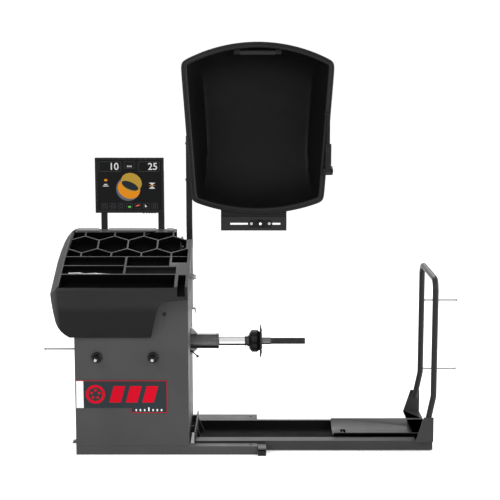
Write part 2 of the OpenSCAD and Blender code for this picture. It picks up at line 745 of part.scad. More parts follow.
module guard_bolts() color("#6a6c6e")
    for (z = [1398, 1598])
        xrod([guard_arm_x - guard_arm_w / 2 - 6, guard_arm_x - guard_arm_w / 2 + 1], 16,
            guard_rim_y + 43, z);
module laser_bracket() color("#55575a") {
    x = [455, 818];
    y0 = guard_rim_y + 4;
    difference() {
        block(x, [y0, y0 + 3], [1117, 1192]);
        block([507, 604], [y0 - 1, y0 + 4], [1150, 1160]);
        block([740, 784], [y0 - 1, y0 + 4], [1150, 1160]);
        block([612, 734], [y0 - 1, y0 + 4], [1132, 1178]);
    }
    block(x, [y0, y0 + 50], [1189, 1192]);
    block(x, [y0, y0 + 30], [1117, 1120]);
    // plate up to the guard's bottom edge
    block(x, [y0 + 8, y0 + 12], [1190, 1236]);
}
module laser_unit() color("#111112") {
    y0 = guard_rim_y + 4;
    difference() {
        block([606, 740], [y0 + 3, y0 + 28], [1126, 1184]);
        block([614, 732], [y0 + 2, y0 + 8], [1134, 1176]);
    }
    yrod([y0 - 8, y0 + 9], 34, 673, 1156);
    for (x = [626, 720])
        yrod([y0 + 4, y0 + 9], 12, x, 1155);
}
module width_gauge_bracket() color("#232425") {
    difference() {
        union()
            for (x = [width_x - 26, width_x + 18])
                along_x([x, x + 8], [[width_y - 14, width_z - 14], [guard_rim_y, width_z - 24],
                    [guard_rim_y, width_z + 24], [width_y - 14, width_z + 14]]);
        xrod([width_x - 27, width_x + 27], width_pin_d + 0.04, width_y, width_z);
    }
    block([width_x - 40, width_x + 26], [guard_rim_y - 4, guard_rim_y], [width_z - 24, width_z + 24]);
    xrod([width_x - 28, width_x + 28], width_pin_d, width_y, width_z);
}
module width_gauge_arm() color("#1d1e1f") {
    difference() {
        union() {
            xrod([width_x - 17, width_x + 17], 26, width_y, width_z);
            block([width_x - 17, width_x + 17], [width_y - 11, width_y + 11], [width_z, width_z + 140]);
            xrod([width_x - 17, width_x + 17], 22, width_y, width_z + 140);
        }
        xrod([width_x - 18, width_x + 18], width_pin_d + 2 * fit, width_y, width_z);
    }
    block([width_x - 9, width_x + 9], [width_y - 5, width_y + 5], [width_z + 145, width_z + 312]);
    xrod([width_x - 22, width_x + 9], 14, width_y, width_z + 312);
}

// ---- lift ----
module lift_columns() color("#a3a5a7") {
    for (side = [-1, 1])
        zrod([base_h, 622], column_d, column_x, side * arm_y);
    block([column_x - 20, column_x + 20], [-arm_y - 24, arm_y + 24], [620, 636]);
}
module lift_cylinder() color("#9a9c9f") {
    difference() {
        zrod([base_h + 14, cylinder_top], 46, column_x, cylinder_y);
        zrod([base_h + 40, cylinder_top + 1], 20 + 2 * fit, column_x, cylinder_y);
    }
    block([column_x - 30, column_x + 24], [cylinder_y - 28, cylinder_y + 32], [base_h, base_h + 15]);
}
module lift_piston_rod() color("#cfd0d2")
    zrod([base_h + 50, cylinder_top + 18], 20, column_x, cylinder_y);
module lift_carriage() color("#56585a") {
    plate_x = [250, 262];
    block(plate_x, [-arm_y - 22, arm_y + 22], [carriage_z0, carriage_z1]);
    difference() {
        union()
            for (side = [-1, 1])
                block([column_x - 24, plate_x[0] + 1], [side * arm_y - 22, side * arm_y + 22],
                    [carriage_z0, carriage_z1]);
        for (side = [-1, 1])
            zrod([carriage_z0 - 1, carriage_z1 + 1], column_d + 2 * fit, column_x, side * arm_y);
    }
    // tall plate and lug that the piston rod pushes
    block(plate_x, [arm_y + 10, cylinder_y + 22], [carriage_z0, cylinder_top + 36]);
    block([column_x - 22, plate_x[0] + 1], [cylinder_y - 22, cylinder_y + 22],
        [cylinder_top + 18, cylinder_top + 36]);
}
module lift_frame() color("#3e3f41") {
    x = [lift_x0, lift_x1];
    // front rail: a hollow box, back rail and deck
    difference() {
        block(x, [rail_front_y, -166], [rail_z0, rail_z1]);
        block([x[0] - 1, x[1] + 1], [rail_front_y + 4, -170], [rail_z0 + 4, rail_z1 - 4]);
    }
    block(x, [rail_back_y - 25, rail_back_y], [rail_z0, rail_z1]);
    block(x, [-167, rail_back_y - 24], [rail_z0, rail_z0 + 4]);
    // end plate and the two arms that enter the cabinet
    block([lift_x0, lift_x0 + 8], [rail_front_y, rail_back_y], [rail_z0, 104]);
    for (side = [-1, 1])
        block([262, lift_x0 + 1], [side * arm_y - arm_t / 2, side * arm_y + arm_t / 2],
            [carriage_z0, arm_top]);
    for (side = [-1, 1])
        along_y([side * arm_y - arm_t / 2, side * arm_y + arm_t / 2], [
            [lift_x0, rail_z0 + 4], [lift_x0 + 42, rail_z0 + 4], [lift_x0 + 8, arm_top - 8],
            [lift_x0, arm_top - 8]]);
}
module trolley() color("#454648") {
    x = [trolley_x0, trolley_x1 - 2];
    t = 5;
    difference() {
        along_x(x, [[-140, 68], [-64, 31], [64, 31], [140, 68], [140, 68 + t], [62, 31 + t],
            [-62, 31 + t], [-140, 68 + t]]);
        // windows over the rollers
        for (rx = [trolley_x0 + 60, trolley_x1 - 60])
            block([rx - 14, rx + 14], [-46, 46], [20, 60]);
    }
    // axle lugs under the floor
    difference() {
        for (rx = [trolley_x0 + 60, trolley_x1 - 60], side = [-1, 1])
            block([rx - 9, rx + 9], [side * 50 - 4, side * 50 + 4], [11, 32]);
        for (rx = [trolley_x0 + 60, trolley_x1 - 60])
            yrod([-60, 60], 8 + 2 * fit, rx, roller_z);
    }
    // cross beam over both rails at the right end
    bx = [trolley_x1 - 92, trolley_x1];
    near = hoop_near_y - hoop_d / 2;
    far = hoop_far_y + hoop_d / 2;
    block(bx, [near - 8, -139], [rail_z1 + 1.5, 68]);
    block(bx, [139, far + 8], [rail_z1 + 1.5, 68]);
    block([bx[1] - 6, bx[1]], [-140, 140], [40, 68]);
    // gussets that carry the hoop
    for (g = [[near - 8, near], [far, far + 8]])
        along_y(g, [[bx[0], 66], [bx[1], 66], [bx[1], 190], [bx[1] - 52, 190]]);
}
module trolley_roller(x) color("#9b9da0") {
    yrod([-44, 44], roller_d, x, roller_z);
    yrod([-56, 56], 8, x, roller_z);
}
module trolley_roller_left() trolley_roller(trolley_x0 + 60);
module trolley_roller_right() trolley_roller(trolley_x1 - 60);
module hoop_rail() color("#2d2e30") {
    knee_z = 300;
    foot_len = 152;
    lean = 11.3;
    for (y = [hoop_near_y, hoop_far_y]) {
        zrod([knee_z, hoop_z - hoop_bend], hoop_d, hoop_x, y);
        // welded knee, then a foot that leans inwards
        translate([hoop_x, y, knee_z]) {
            sphere(d = hoop_d + 3);
            rotate([0, 180 + lean, 0])
                cylinder(h = foot_len, d = hoop_d);
        }
    }
    for (end = [[hoop_near_y + hoop_bend, 90], [hoop_far_y - hoop_bend, 0]])
        translate([hoop_x, end[0], hoop_z - hoop_bend])
            rotate([90, 0, 90])
                rotate_extrude(angle = 90, start = end[1])
                    translate([hoop_bend, 0])
                        circle(d = hoop_d);
    yrod([hoop_near_y + hoop_bend, hoop_far_y - hoop_bend], hoop_d, hoop_x, hoop_z);
}
module hoop_hangers() color("#c2c3c5")
    for (z = [320, 715])
        difference() {
            union() {
                xrod([hoop_x, 1783], 10, hoop_far_y, z);
                xrod([1779, 1783], 20, hoop_far_y, z);
            }
            zrod([z - 30, z + 30], hoop_d + 0.02, hoop_x, hoop_far_y);
        }

// ---- foot control ----
module pedal_box() color("#48494b") difference() {
    block([pedal_x0, pedal_x1], [pedal_y0, pedal_y1], [0, 27]);
    block([pedal_x0 + 4, pedal_x1 - 4], [pedal_y0 + 4, pedal_y1 - 4], [8, 28]);
    xrod([pedal_x0 - 1, pedal_x1 + 1], 8, (pedal_y0 + pedal_y1) / 2, 20);
}
module foot_pedal() color("#161616") {
    mid = (pedal_y0 + pedal_y1) / 2;
    block([pedal_x0, pedal_x1], [pedal_y0, pedal_y1], [34, 42]);
    block([pedal_x0 + 6, pedal_x1 - 6], [mid - 12, mid + 12], [18, 35]);
    xrod([pedal_x0, pedal_x1], 8 - 2 * fit, mid, 20);
}

base_frame();
cabinet_shell();
rear_panel();
panel_screws();
tray_hood();
cone_hanger_bases();
cone_hanger_rods();
side_hangers();
badge_plate();
wall_plug();
monitor_posts();
monitor_housing();
monitor_screen();
monitor_button_1();
monitor_button_2();
monitor_button_3();
monitor_button_4();
monitor_button_5();
spindle_housing();
spindle_collar();
spindle_bearings();
spindle_stand();
force_sensors();
spindle_shaft();
spindle_spacer();
flange_hub();
flange_disc();
spindle_pulley();
encoder_disc();
motor();
motor_pulley();
drive_belt();
lock_lever();
control_box();
power_inlet();
power_rocker();
gauge_guide();
gauge_rod();
gauge_arm();
guard_pivot_brackets();
guard_arm();
guard_shell();
guard_handle();
guard_bolts();
laser_bracket();
laser_unit();
width_gauge_bracket();
width_gauge_arm();
lift_columns();
lift_cylinder();
lift_piston_rod();
lift_carriage();
lift_frame();
trolley();
trolley_roller_left();
trolley_roller_right();
hoop_rail();
hoop_hangers();
pedal_box();
foot_pedal();
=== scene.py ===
"""Looks of a truck wheel balancer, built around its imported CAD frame. Metres, +Z up."""

import json
import math

import bmesh
import bpy
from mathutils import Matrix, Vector


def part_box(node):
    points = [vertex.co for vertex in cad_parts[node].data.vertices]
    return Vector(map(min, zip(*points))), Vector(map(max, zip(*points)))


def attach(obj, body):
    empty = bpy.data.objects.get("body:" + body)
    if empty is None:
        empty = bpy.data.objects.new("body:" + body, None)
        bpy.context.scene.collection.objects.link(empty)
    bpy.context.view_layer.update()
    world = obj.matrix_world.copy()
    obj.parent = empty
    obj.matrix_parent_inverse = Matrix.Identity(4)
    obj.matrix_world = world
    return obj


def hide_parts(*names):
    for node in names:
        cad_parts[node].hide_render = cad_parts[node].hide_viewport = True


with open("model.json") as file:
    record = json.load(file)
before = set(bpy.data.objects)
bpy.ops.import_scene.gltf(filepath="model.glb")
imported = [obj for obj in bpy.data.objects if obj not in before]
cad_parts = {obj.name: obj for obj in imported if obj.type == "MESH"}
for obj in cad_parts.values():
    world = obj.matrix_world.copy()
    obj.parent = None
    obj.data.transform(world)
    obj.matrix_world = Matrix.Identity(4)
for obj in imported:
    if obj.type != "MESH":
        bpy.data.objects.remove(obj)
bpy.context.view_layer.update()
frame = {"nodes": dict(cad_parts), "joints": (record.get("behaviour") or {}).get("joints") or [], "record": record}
BODIES = frame["record"]["behaviour"]["bodies"]
BODY_OF = {node: body for body, nodes in BODIES.items() for node in nodes}
SPINDLE_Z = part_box("flange_disc")[0].lerp(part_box("flange_disc")[1], 0.5).z
MM = 0.001


# ---- materials ----
class Finish:
    """A procedural material: clouded and grained colour, edges lightened where rubbed and by a painted highlight,
    uneven roughness and bump.
    """

    def __init__(self, name, slot):
        self.material = bpy.data.materials.new(name + "_finish")
        self.material.use_nodes = True
        self.tree = self.material.node_tree
        self.shader = self.tree.nodes["Principled BSDF"]
        self.place = self.tree.nodes.new("ShaderNodeTexCoord").outputs["Object"]

    def node(self, kind, settings=None, **inputs):
        made = self.tree.nodes.new(kind)
        for key, value in (settings or {}).items():
            setattr(made, key, value)
        for key, value in inputs.items():
            socket = made.inputs[int(key[1:])] if key[0] == "i" and key[1:].isdigit() else made.inputs[key]
            self.feed(socket, value)
        return made

    def feed(self, socket, value):
        if isinstance(value, bpy.types.NodeSocket):
            self.tree.links.new(value, socket)
        else:
            socket.default_value = value

    def noise(self, scale, detail=3.0, stretch=None):
        place = self.place
        if stretch:
            place = self.node("ShaderNodeMapping", Vector=place, Scale=stretch).outputs["Vector"]
        made = self.node("ShaderNodeTexNoise", Vector=place, Scale=scale, Detail=detail)
        return made.outputs["Fac"]

    def spread(self, value, low, high, start=0.3, end=0.7):
        made = self.node("ShaderNodeMapRange", i0=value, i1=start, i2=end, i3=low, i4=high)
        return made.outputs[0]

    def mix(self, amount, first, second, blend="MIX"):
        made = self.node("ShaderNodeMix", {"data_type": "RGBA", "blend_type": blend})
        self.feed(made.inputs[0], amount)
        self.feed(made.inputs[6], first)
        self.feed(made.inputs[7], second)
        return made.outputs[2]

    def maths(self, operation, first, second=0.0):
        made = self.node("ShaderNodeMath", {"operation": operation}, i0=first, i1=second)
        return made.outputs[0]

    def edges(self, radius):
        """1 on sharp edges, 0 on flat faces."""
        soft = self.node("ShaderNodeBevel", {"samples": 6}, Radius=radius).outputs["Normal"]
        flat = self.node("ShaderNodeNewGeometry").outputs["Normal"]
        dot = self.node("ShaderNodeVectorMath", {"operation": "DOT_PRODUCT"}, i0=soft, i1=flat)
        return self.spread(dot.outputs["Value"], 1.0, 0.0, 0.86, 0.995)

    def bump(self, height, strength, distance):
        made = self.node("ShaderNodeBump", Height=height, Strength=strength, Distance=distance)
        self.feed(self.shader.inputs["Normal"], made.outputs["Normal"])


def grey(level, tint=(1.0, 1.0, 1.0)):
    return (level * tint[0], level * tint[1], level * tint[2], 1.0)


def coated(name, slot, level, tint=(1, 1, 1), rough=0.5, grain=700, bump=0.25, edge_wear_and_highlight_amount=0.35,
           edge_wear_and_highlight=0.25, vary=0.12, shine=0.16):
    """Powder coat, paint or moulded plastic."""
    finish = Finish(name, slot)
    cloud = finish.noise(3.5, 4.0)
    fine = finish.noise(grain, 2.0)
    dark, pale = grey(level * (1 - vary), tint), grey(level * (1 + vary), tint)
    colour = finish.mix(finish.spread(cloud, 0, 1), dark, pale)
    speck = finish.spread(fine, 0.0, 0.35, 0.5, 0.75)
    colour = finish.mix(speck, colour, grey(level * 1.35, tint))
    # Edges lighten in patches: partly rubbed paint, partly a painted highlight along the edges.
    rubbed_and_highlit_edges = finish.maths("MULTIPLY", finish.edges(2.5 * MM), finish.spread(finish.noise(45, 4.0), 0, edge_wear_and_highlight_amount))
    colour = finish.mix(rubbed_and_highlit_edges, colour, grey(edge_wear_and_highlight, tint))
    finish.feed(finish.shader.inputs["Base Color"], colour)
    smear = finish.spread(finish.noise(9, 5.0), rough * 0.88, rough * 1.15)
    finish.feed(finish.shader.inputs["Roughness"], smear)
    finish.shader.inputs["Specular IOR Level"].default_value = shine
    finish.bump(fine, bump, 0.25 * MM)
    return finish


def metal(name, slot, level, tint=(1, 1, 1), rough=0.28, brush=None, patch=0.1):
    """Plated, ground or polished metal, with brush marks along one direction."""
    finish = Finish(name, slot)
    cloud = finish.noise(22, 4.0)
    lines = finish.noise(400, 2.0, brush or (1, 1, 1))
    colour = finish.mix(finish.spread(cloud, 0, 1), grey(level * (1 - patch), tint), grey(level, tint))
    colour = finish.mix(finish.spread(lines, 0, 0.25), colour, grey(level * 0.6, tint))
    finish.feed(finish.shader.inputs["Base Color"], colour)
    finish.feed(finish.shader.inputs["Roughness"], finish.spread(lines, rough * 0.75, rough * 1.3))
    finish.shader.inputs["Metallic"].default_value = 1.0
    finish.bump(lines, 0.12, 0.08 * MM)
    return finish


def lit(name, colour, glow):
    """A lit patch of the screen, faintly grained like a display's pixels."""
    finish = Finish(name, "screen")
    grain = finish.spread(finish.noise(1800, 1.0), 0.0, 0.18)
    shown = finish.mix(grain, colour, (0.02, 0.02, 0.02, 1))
    finish.feed(finish.shader.inputs["Base Color"], shown)
    finish.feed(finish.shader.inputs["Emission Color"], shown)
    finish.shader.inputs["Emission Strength"].default_value = glow
    finish.shader.inputs["Specular IOR Level"].default_value = 0.05
    finish.feed(finish.shader.inputs["Roughness"], finish.spread(finish.noise(30), 0.3, 0.45))
    return finish


def hood_finish():
    """Moulded plastic, near-black in the tray's pockets as painted shade, with a painted highlight on the tops of
    the hex walls and the left side band, and much paler on the upstand.
    """
    finish = coated("hood_plastic", "hood_plastic", 0.0095, rough=0.45, grain=900, bump=0.3, edge_wear_and_highlight_amount=0.7,
                    edge_wear_and_highlight=0.10, vary=0.1)
    split = finish.node("ShaderNodeSeparateXYZ", Vector=finish.place)
    back = finish.maths("SUBTRACT", split.outputs["Y"], TRAY_FRONT.y)
    up = finish.maths("SUBTRACT", split.outputs["Z"], TRAY_FRONT.z)
    along = finish.maths("MULTIPLY", back, -math.sin(TRAY_SLOPE))
    rise = finish.maths("MULTIPLY", up, math.cos(TRAY_SLOPE))
    depth = finish.maths("ADD", along, rise)
    # Painted shade: faces more than 6 mm under the tray's surface darken, and go near-black below 30 mm.
    deep = finish.spread(depth, 1.0, 0.0, -0.030, -0.006)
    front = finish.spread(split.outputs["Y"], 0.0, 1.0, -0.372, -0.362)
    pocket_shade_mask = finish.maths("MULTIPLY", deep, front)
    middle = finish.spread(split.outputs["X"], 0.0, 1.0, -0.3635, -0.3615)
    pocket_shade_mask = finish.maths("MULTIPLY", pocket_shade_mask, middle)
    # Painted highlight: the left side band and the tops of the hex walls are paler.
    shoulder_highlight = finish.spread(split.outputs["X"], 1.0, 0.0, -0.385, -0.363)
    top = finish.spread(depth, 0.0, 1.0, -0.004, -0.001)
    rib_top_highlight = finish.maths("MULTIPLY", top, front)
    pale = finish.maths("MAXIMUM", rib_top_highlight, finish.maths("MULTIPLY", shoulder_highlight, 0.6))
    # The near-black pocket colour of the painted shade, speckled like foam.
    foam = finish.spread(finish.noise(160, 5.0), 0.2, 1.0)
    shade = finish.mix(foam, grey(0.001), grey(0.0035))
    old = finish.shader.inputs["Base Color"].links[0].from_socket
    raised = finish.spread(depth, 0.0, 1.0, 0.003, 0.006)
    body = finish.mix(pale, old, grey(0.055))
    body = finish.mix(raised, body, grey(0.32))
    finish.feed(finish.shader.inputs["Base Color"], finish.mix(pocket_shade_mask, body, shade))
    return finish


TRAY_FRONT = Vector((0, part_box("tray_hood")[0].y, 0.900))
TRAY_BACK = Vector((0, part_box("tray_hood")[1].y, 1.130))
TRAY_SLOPE = math.atan2(TRAY_BACK.z - TRAY_FRONT.z, TRAY_BACK.y - TRAY_FRONT.y)
POWDER = coated("powder_grey", "grey_paint", 0.033, rough=0.5, grain=620, bump=0.35, edge_wear_and_highlight_amount=0.3, edge_wear_and_highlight=0.3,
                shine=0.3)
DARK = coated("dark_paint", "dark_paint", 0.009, rough=0.42, grain=620, bump=0.3, edge_wear_and_highlight_amount=0.4, edge_wear_and_highlight=0.09)
STEEL_GREY = coated("trolley_paint", "dark_paint", 0.024, rough=0.4, grain=620, bump=0.3, edge_wear_and_highlight_amount=0.5, edge_wear_and_highlight=0.16)
# Near-black, dull paint for the low faces between the lift's rails: painted shade.
DECK_SHADE = coated("painted_deck_shade", "dark_paint", 0.0055, rough=0.7, grain=620, bump=0.3, edge_wear_and_highlight_amount=0.3, edge_wear_and_highlight=0.03,
              shine=0.03)
HOOD = hood_finish()
# Near-black, dull plastic for the tray's pockets: painted shade in the recesses.
POCKET_SHADE = coated("painted_pocket_shade", "hood_plastic", 0.0016, rough=0.6, grain=300, bump=0.3, edge_wear_and_highlight_amount=0.1, edge_wear_and_highlight=0.01,
                shine=0.04)
GUARD = coated("guard_plastic", "guard_plastic", 0.0040, rough=0.5, grain=1100, bump=0.2, edge_wear_and_highlight_amount=0.3, edge_wear_and_highlight=0.03,
               shine=0.09)
RIM = coated("guard_rim", "guard_plastic", 0.007, rough=0.38, grain=1100, bump=0.2, edge_wear_and_highlight_amount=0.4, edge_wear_and_highlight=0.06)
BLACK = coated("black_plastic", "black_plastic", 0.0045, rough=0.38, grain=900, bump=0.25, edge_wear_and_highlight_amount=0.5,
               edge_wear_and_highlight=0.08)
SATIN = coated("black_paint", "black_paint", 0.007, rough=0.36, grain=520, bump=0.2, edge_wear_and_highlight_amount=0.5, edge_wear_and_highlight=0.09)
TUBE = coated("hoop_paint", "black_paint", 0.012, rough=0.36, grain=520, bump=0.2, edge_wear_and_highlight_amount=0.5, edge_wear_and_highlight=0.14)
MOTOR = coated("motor_paint", "motor_paint", 0.060, (0.9, 1.0, 1.1), rough=0.45, grain=500)
RUBBER = coated("rubber", "rubber", 0.006, rough=0.75, grain=300, bump=0.4, edge_wear_and_highlight_amount=0.2, edge_wear_and_highlight=0.04, shine=0.08)
ROCKER = coated("rocker_red", "rocker_red", 0.30, (1.0, 0.07, 0.05), rough=0.3, edge_wear_and_highlight_amount=0.2, edge_wear_and_highlight=0.5)
PLATE = coated("badge_base", "badge_paint", 0.023, (0.72, 1.0, 1.16), rough=0.38, grain=900, bump=0.1,
               edge_wear_and_highlight=0.1, shine=0.08)
RED = coated("badge_red", "badge_paint", 0.42, (1.0, 0.004, 0.030), rough=0.35, grain=900, bump=0.1, edge_wear_and_highlight=0.4,
             shine=0.04)
PALE = coated("badge_pale", "badge_paint", 0.62, rough=0.4, grain=900, bump=0.1, edge_wear_and_highlight=0.8)
CREAM = coated("pale_paint", "zinc", 0.26, rough=0.4, grain=620, bump=0.2, edge_wear_and_highlight=0.7)
ZINC = metal("zinc", "zinc", 0.50, (1.0, 1.0, 1.03), rough=0.34)
STEEL = metal("ground_steel", "ground_steel", 0.16, rough=0.3, brush=(0.05, 1, 1))
THREAD = metal("thread_steel", "ground_steel", 0.055, rough=0.32, brush=(0.05, 1, 1))
ROD = coated("plated_rod", "zinc", 0.20, rough=0.3, grain=500, bump=0.1, edge_wear_and_highlight_amount=0.3, edge_wear_and_highlight=0.4, shine=0.5)
GUNMETAL = metal("housing_paint", "black_paint", 0.11, rough=0.3, brush=(0.05, 1, 1))
CHROME = metal("chrome", "chrome", 0.72, rough=0.12, brush=(0.05, 1, 1), patch=0.03)
ALLOY = metal("encoder_alloy", "encoder_alloy", 0.5, (0.85, 1.0, 0.92), rough=0.35)
GLASS = coated("screen_back", "screen", 0.0055, (1.0, 1.02, 1.08), rough=0.3, grain=1500, bump=0.02, edge_wear_and_highlight_amount=0,
               shine=0.05)
WHITE_LIGHT = lit("screen_white", (0.40, 0.40, 0.40, 1), 0.25)
LINE_LIGHT = lit("screen_line", (0.045, 0.047, 0.05, 1), 0.1)
AMBER = lit("screen_amber", (0.42, 0.145, 0.004, 1), 0.3)
OCHRE = lit("screen_ochre", (0.26, 0.16, 0.02, 1), 0.25)
SLATE = lit("screen_slate", (0.010, 0.013, 0.016, 1), 0.1)
SILVER = lit("screen_silver", (0.07, 0.08, 0.10, 1), 0.1)
LEAF = lit("screen_green", (0.06, 0.35, 0.04, 1), 0.2)
LAMP = lit("lamp_white", (0.9, 0.9, 0.9, 1), 0.7)
CORAL = lit("screen_red", (0.55, 0.08, 0.05, 1), 0.2)


# ---- mesh helpers ----
def shade(mesh, angle=32):
    for face in mesh.polygons:
        face.use_smooth = True
    mesh.set_sharp_from_angle(angle=math.radians(angle))


def piece(name, bm, finish, body, replaces=()):
    """Turns a bmesh into a piece that rides on a body and stands for CAD nodes."""
    bmesh.ops.recalc_face_normals(bm, faces=bm.faces[:])
    mesh = bpy.data.meshes.new(name)
    bm.to_mesh(mesh)
    bm.free()
    mesh.materials.append(finish.material)
    shade(mesh)
    obj = bpy.data.objects.new(name, mesh)
    bpy.context.scene.collection.objects.link(obj)
    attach(obj, body)
    if replaces:
        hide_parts(*replaces)
    return obj


def stand_in(name, bm, finish, node):
    """A piece that stands for one CAD node, on that node's body."""
    return piece(name, bm, finish, BODY_OF[node], (node,))


def spot(axis, along, radius, angle, centre):
    """A point round an axis through centre."""
    across, up = radius * math.cos(angle), radius * math.sin(angle)
    offset = {"X": (along, across, up), "Y": (across, along, up), "Z": (across, up, along)}[axis]
    return Vector(centre) + Vector(offset)


def bridge(bm, rings, capped=False):
    """Quads between neighbouring rings of vertices, and a face over each end if capped."""
    if capped:
        bm.faces.new(rings[0])
        bm.faces.new(rings[-1])
    for near, far in zip(rings, rings[1:]):
        for i in range(len(near)):
            j = (i + 1) % len(near)
            bm.faces.new((near[i], near[j], far[j], far[i]))


def ring_at(bm, point, side, up, radius, sides):
    """A ring of vertices round a point, in the plane of side and up."""
    return [bm.verts.new(point + radius * (side * math.cos(a) + up * math.sin(a)))
            for a in (math.tau * k / sides for k in range(sides))]


def lathe(bm, profile, centre, axis="X", steps=64, closed=False):
    """A turned part. The profile is (distance along the axis, radius) pairs."""
    rings = [[bm.verts.new(spot(axis, along, radius, math.tau * i / steps, centre)) for i in range(steps)]
             for along, radius in profile]
    bridge(bm, rings + rings[:1] if closed else rings, capped=not closed)


def bar(bm, axis, start, end, radius, centre, chamfer=1 * MM, steps=48):
    """A round bar with chamfered ends."""
    lathe(bm, [(start, radius - chamfer), (start + chamfer, radius), (end - chamfer, radius),
               (end, radius - chamfer)], centre, axis, steps)


def prism(bm, outline, axis, start, end):
    """An outline carried along an axis."""
    def place(point, depth):
        return {"X": (depth, *point), "Y": (point[0], depth, point[1]), "Z": (*point, depth)}[axis]
    bridge(bm, [[bm.verts.new(place(p, depth)) for p in outline] for depth in (start, end)], capped=True)


def block(bm, low, high, radius=1 * MM, segments=2):
    """A box with rounded edges."""
    verts = bmesh.ops.create_cube(bm, size=1)["verts"]
    for v in verts:
        v.co = Vector([low[k] + (v.co[k] + 0.5) * (high[k] - low[k]) for k in range(3)])
    edges = list({edge for v in verts for edge in v.link_edges})
    bmesh.ops.bevel(bm, geom=edges, offset=radius, segments=segments, profile=0.5, affect="EDGES")


def hexagon(bm, axis, start, end, across, centre):
    """A hexagon head with chamfered corners."""
    radius = across / 2 / math.cos(math.radians(30))
    lathe(bm, [(start, radius), (end - (end - start) * 0.15, radius), (end, radius * 0.9)], centre, axis, 6)


def tube(bm, points, radius, sides=28):
    """A round tube along points, with flat ends."""
    rings = []
    side = None
    for i, point in enumerate(points):
        ahead = (points[min(i + 1, len(points) - 1)] - points[max(i - 1, 0)]).normalized()
        side = ahead.orthogonal() if side is None else side - ahead * side.dot(ahead)
        side.normalize()
        rings.append(ring_at(bm, point, side, ahead.cross(side), radius, sides))
    bridge(bm, rings, capped=True)


def rounded_path(corners, radius, steps=10):
    """Points along straight runs whose corners are arcs."""
    points = [corners[0]]
    for before, corner, after in zip(corners, corners[1:], corners[2:]):
        back, on = (before - corner).normalized(), (after - corner).normalized()
        half = back.angle(on) / 2
        cut = min(radius / math.tan(half), 0.49 * (before - corner).length, 0.49 * (after - corner).length)
        reach = cut * math.tan(half)
        centre = corner + (back + on).normalized() * (reach / math.sin(half))
        first, last = corner + back * cut - centre, corner + on * cut - centre
        turn = first.angle(last)
        for k in range(steps + 1):
            t = k / steps
            blend = (first * math.sin((1 - t) * turn) + last * math.sin(t * turn)) / math.sin(turn)
            points.append(centre + blend)
    return points + [corners[-1]]


def bead(bm, start, end, radius=2.5 * MM, pitch=4 * MM):
    """A weld bead: overlapping ripples from start to end."""
    start, end = Vector(start), Vector(end)
    count = max(3, int((end - start).length / pitch * 3))
    points = [start.lerp(end, i / count) for i in range(count + 1)]
    rings = []
    ahead = (end - start).normalized()
    side = ahead.orthogonal().normalized()
    up = ahead.cross(side)
    for i, point in enumerate(points):
        size = radius * (0.8 + 0.2 * abs(math.sin(i * math.pi / 3)))
        size *= 0.5 if i in (0, count) else 1.0
        rings.append(ring_at(bm, point, side, up, size, 10))
    bridge(bm, rings, capped=True)


def rounded_copy(node, finish, width=1.5 * MM, segments=2, angle=38):
    """A copy of a CAD node with its edges rounded, which stands for the node."""
    bm = bmesh.new()
    bm.from_mesh(frame["nodes"][node].data)
    bmesh.ops.remove_doubles(bm, verts=bm.verts[:], dist=0.01 * MM)
    bmesh.ops.dissolve_limit(bm, angle_limit=math.radians(0.6), verts=bm.verts[:], edges=bm.edges[:])
    obj = stand_in(node + "_finished", bm, finish, node)
    edge = obj.modifiers.new("edges", "BEVEL")
    edge.width = width
    edge.segments = segments
    edge.limit_method = "ANGLE"
    edge.angle_limit = math.radians(angle)
    edge.use_clamp_overlap = False
    edge.harden_normals = True
    return obj


def repaint(obj, finish, chosen):
    """Gives the chosen faces of a piece another material."""
    obj.data.materials.append(finish.material)
    for face in obj.data.polygons:
        if chosen(face):
            face.material_index = len(obj.data.materials) - 1


def keep(node, finish):
    """A CAD node whose shape is right gets its material."""
    obj = frame["nodes"][node]
    obj.data.materials.clear()
    obj.data.materials.append(finish.material)


# ---- cabinet and base ----
def cabinet():
    rounded_copy("cabinet_shell", POWDER, 2.4 * MM, 3)
    rounded_copy("base_frame", POWDER, 2.0 * MM, 3)
    rounded_copy("rear_panel", DARK, 0.8 * MM)
    louvres()
    panel_screws()


def louvres():
    """Pressed hoods over the rear panel's cooling slots."""
    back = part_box("rear_panel")[1].y
    bm = bmesh.new()
    for i in range(10):
        z = 0.4385 + 0.022 * i
        arc = [(back + 5 * MM * math.sin(a), z - 9 * MM + 9 * MM * math.cos(a))
               for a in (math.radians(10 * k) for k in range(10))]
        lip = [(back + 3.8 * MM, z - 9 * MM), (back - 0.5 * MM, z - 1.5 * MM)]
        prism(bm, [(back - 0.5 * MM, z), *arc, *lip], "X", -0.222, -0.058)
    piece("rear_louvres", bm, DARK, "machine")


def panel_screws():
    """Button head screws with a round socket."""
    low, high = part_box("panel_screws")
    radius = 6.5 * MM
    bm = bmesh.new()
    for x in (low.x + radius, high.x - radius):
        for z in (0.090, 0.320, 0.550, 0.775):
            profile = [(0, radius), (1.2 * MM, radius), (3.0 * MM, radius * 0.8), (3.9 * MM, radius * 0.52)]
            lathe(bm, profile, (x, high.y - 4 * MM, z), "Y", 28)
            bm.faces.ensure_lookup_table()
            cap = [f for f in bm.faces if len(f.verts) == 28][-1]
            bmesh.ops.inset_region(bm, faces=[cap], thickness=1.0 * MM, depth=-1.6 * MM)
    stand_in("rear_panel_screws", bm, SATIN, "panel_screws")


# ---- hood ----
def tray_point(x, along, out=0.0):
    """A point on the tray: x across, along the slope from the front lip, out of the surface."""
    slope = (TRAY_BACK - TRAY_FRONT).normalized()
    normal = Vector((0, -slope.z, slope.y))
    return Vector((x, 0, 0)) + TRAY_FRONT + slope * along + normal * out


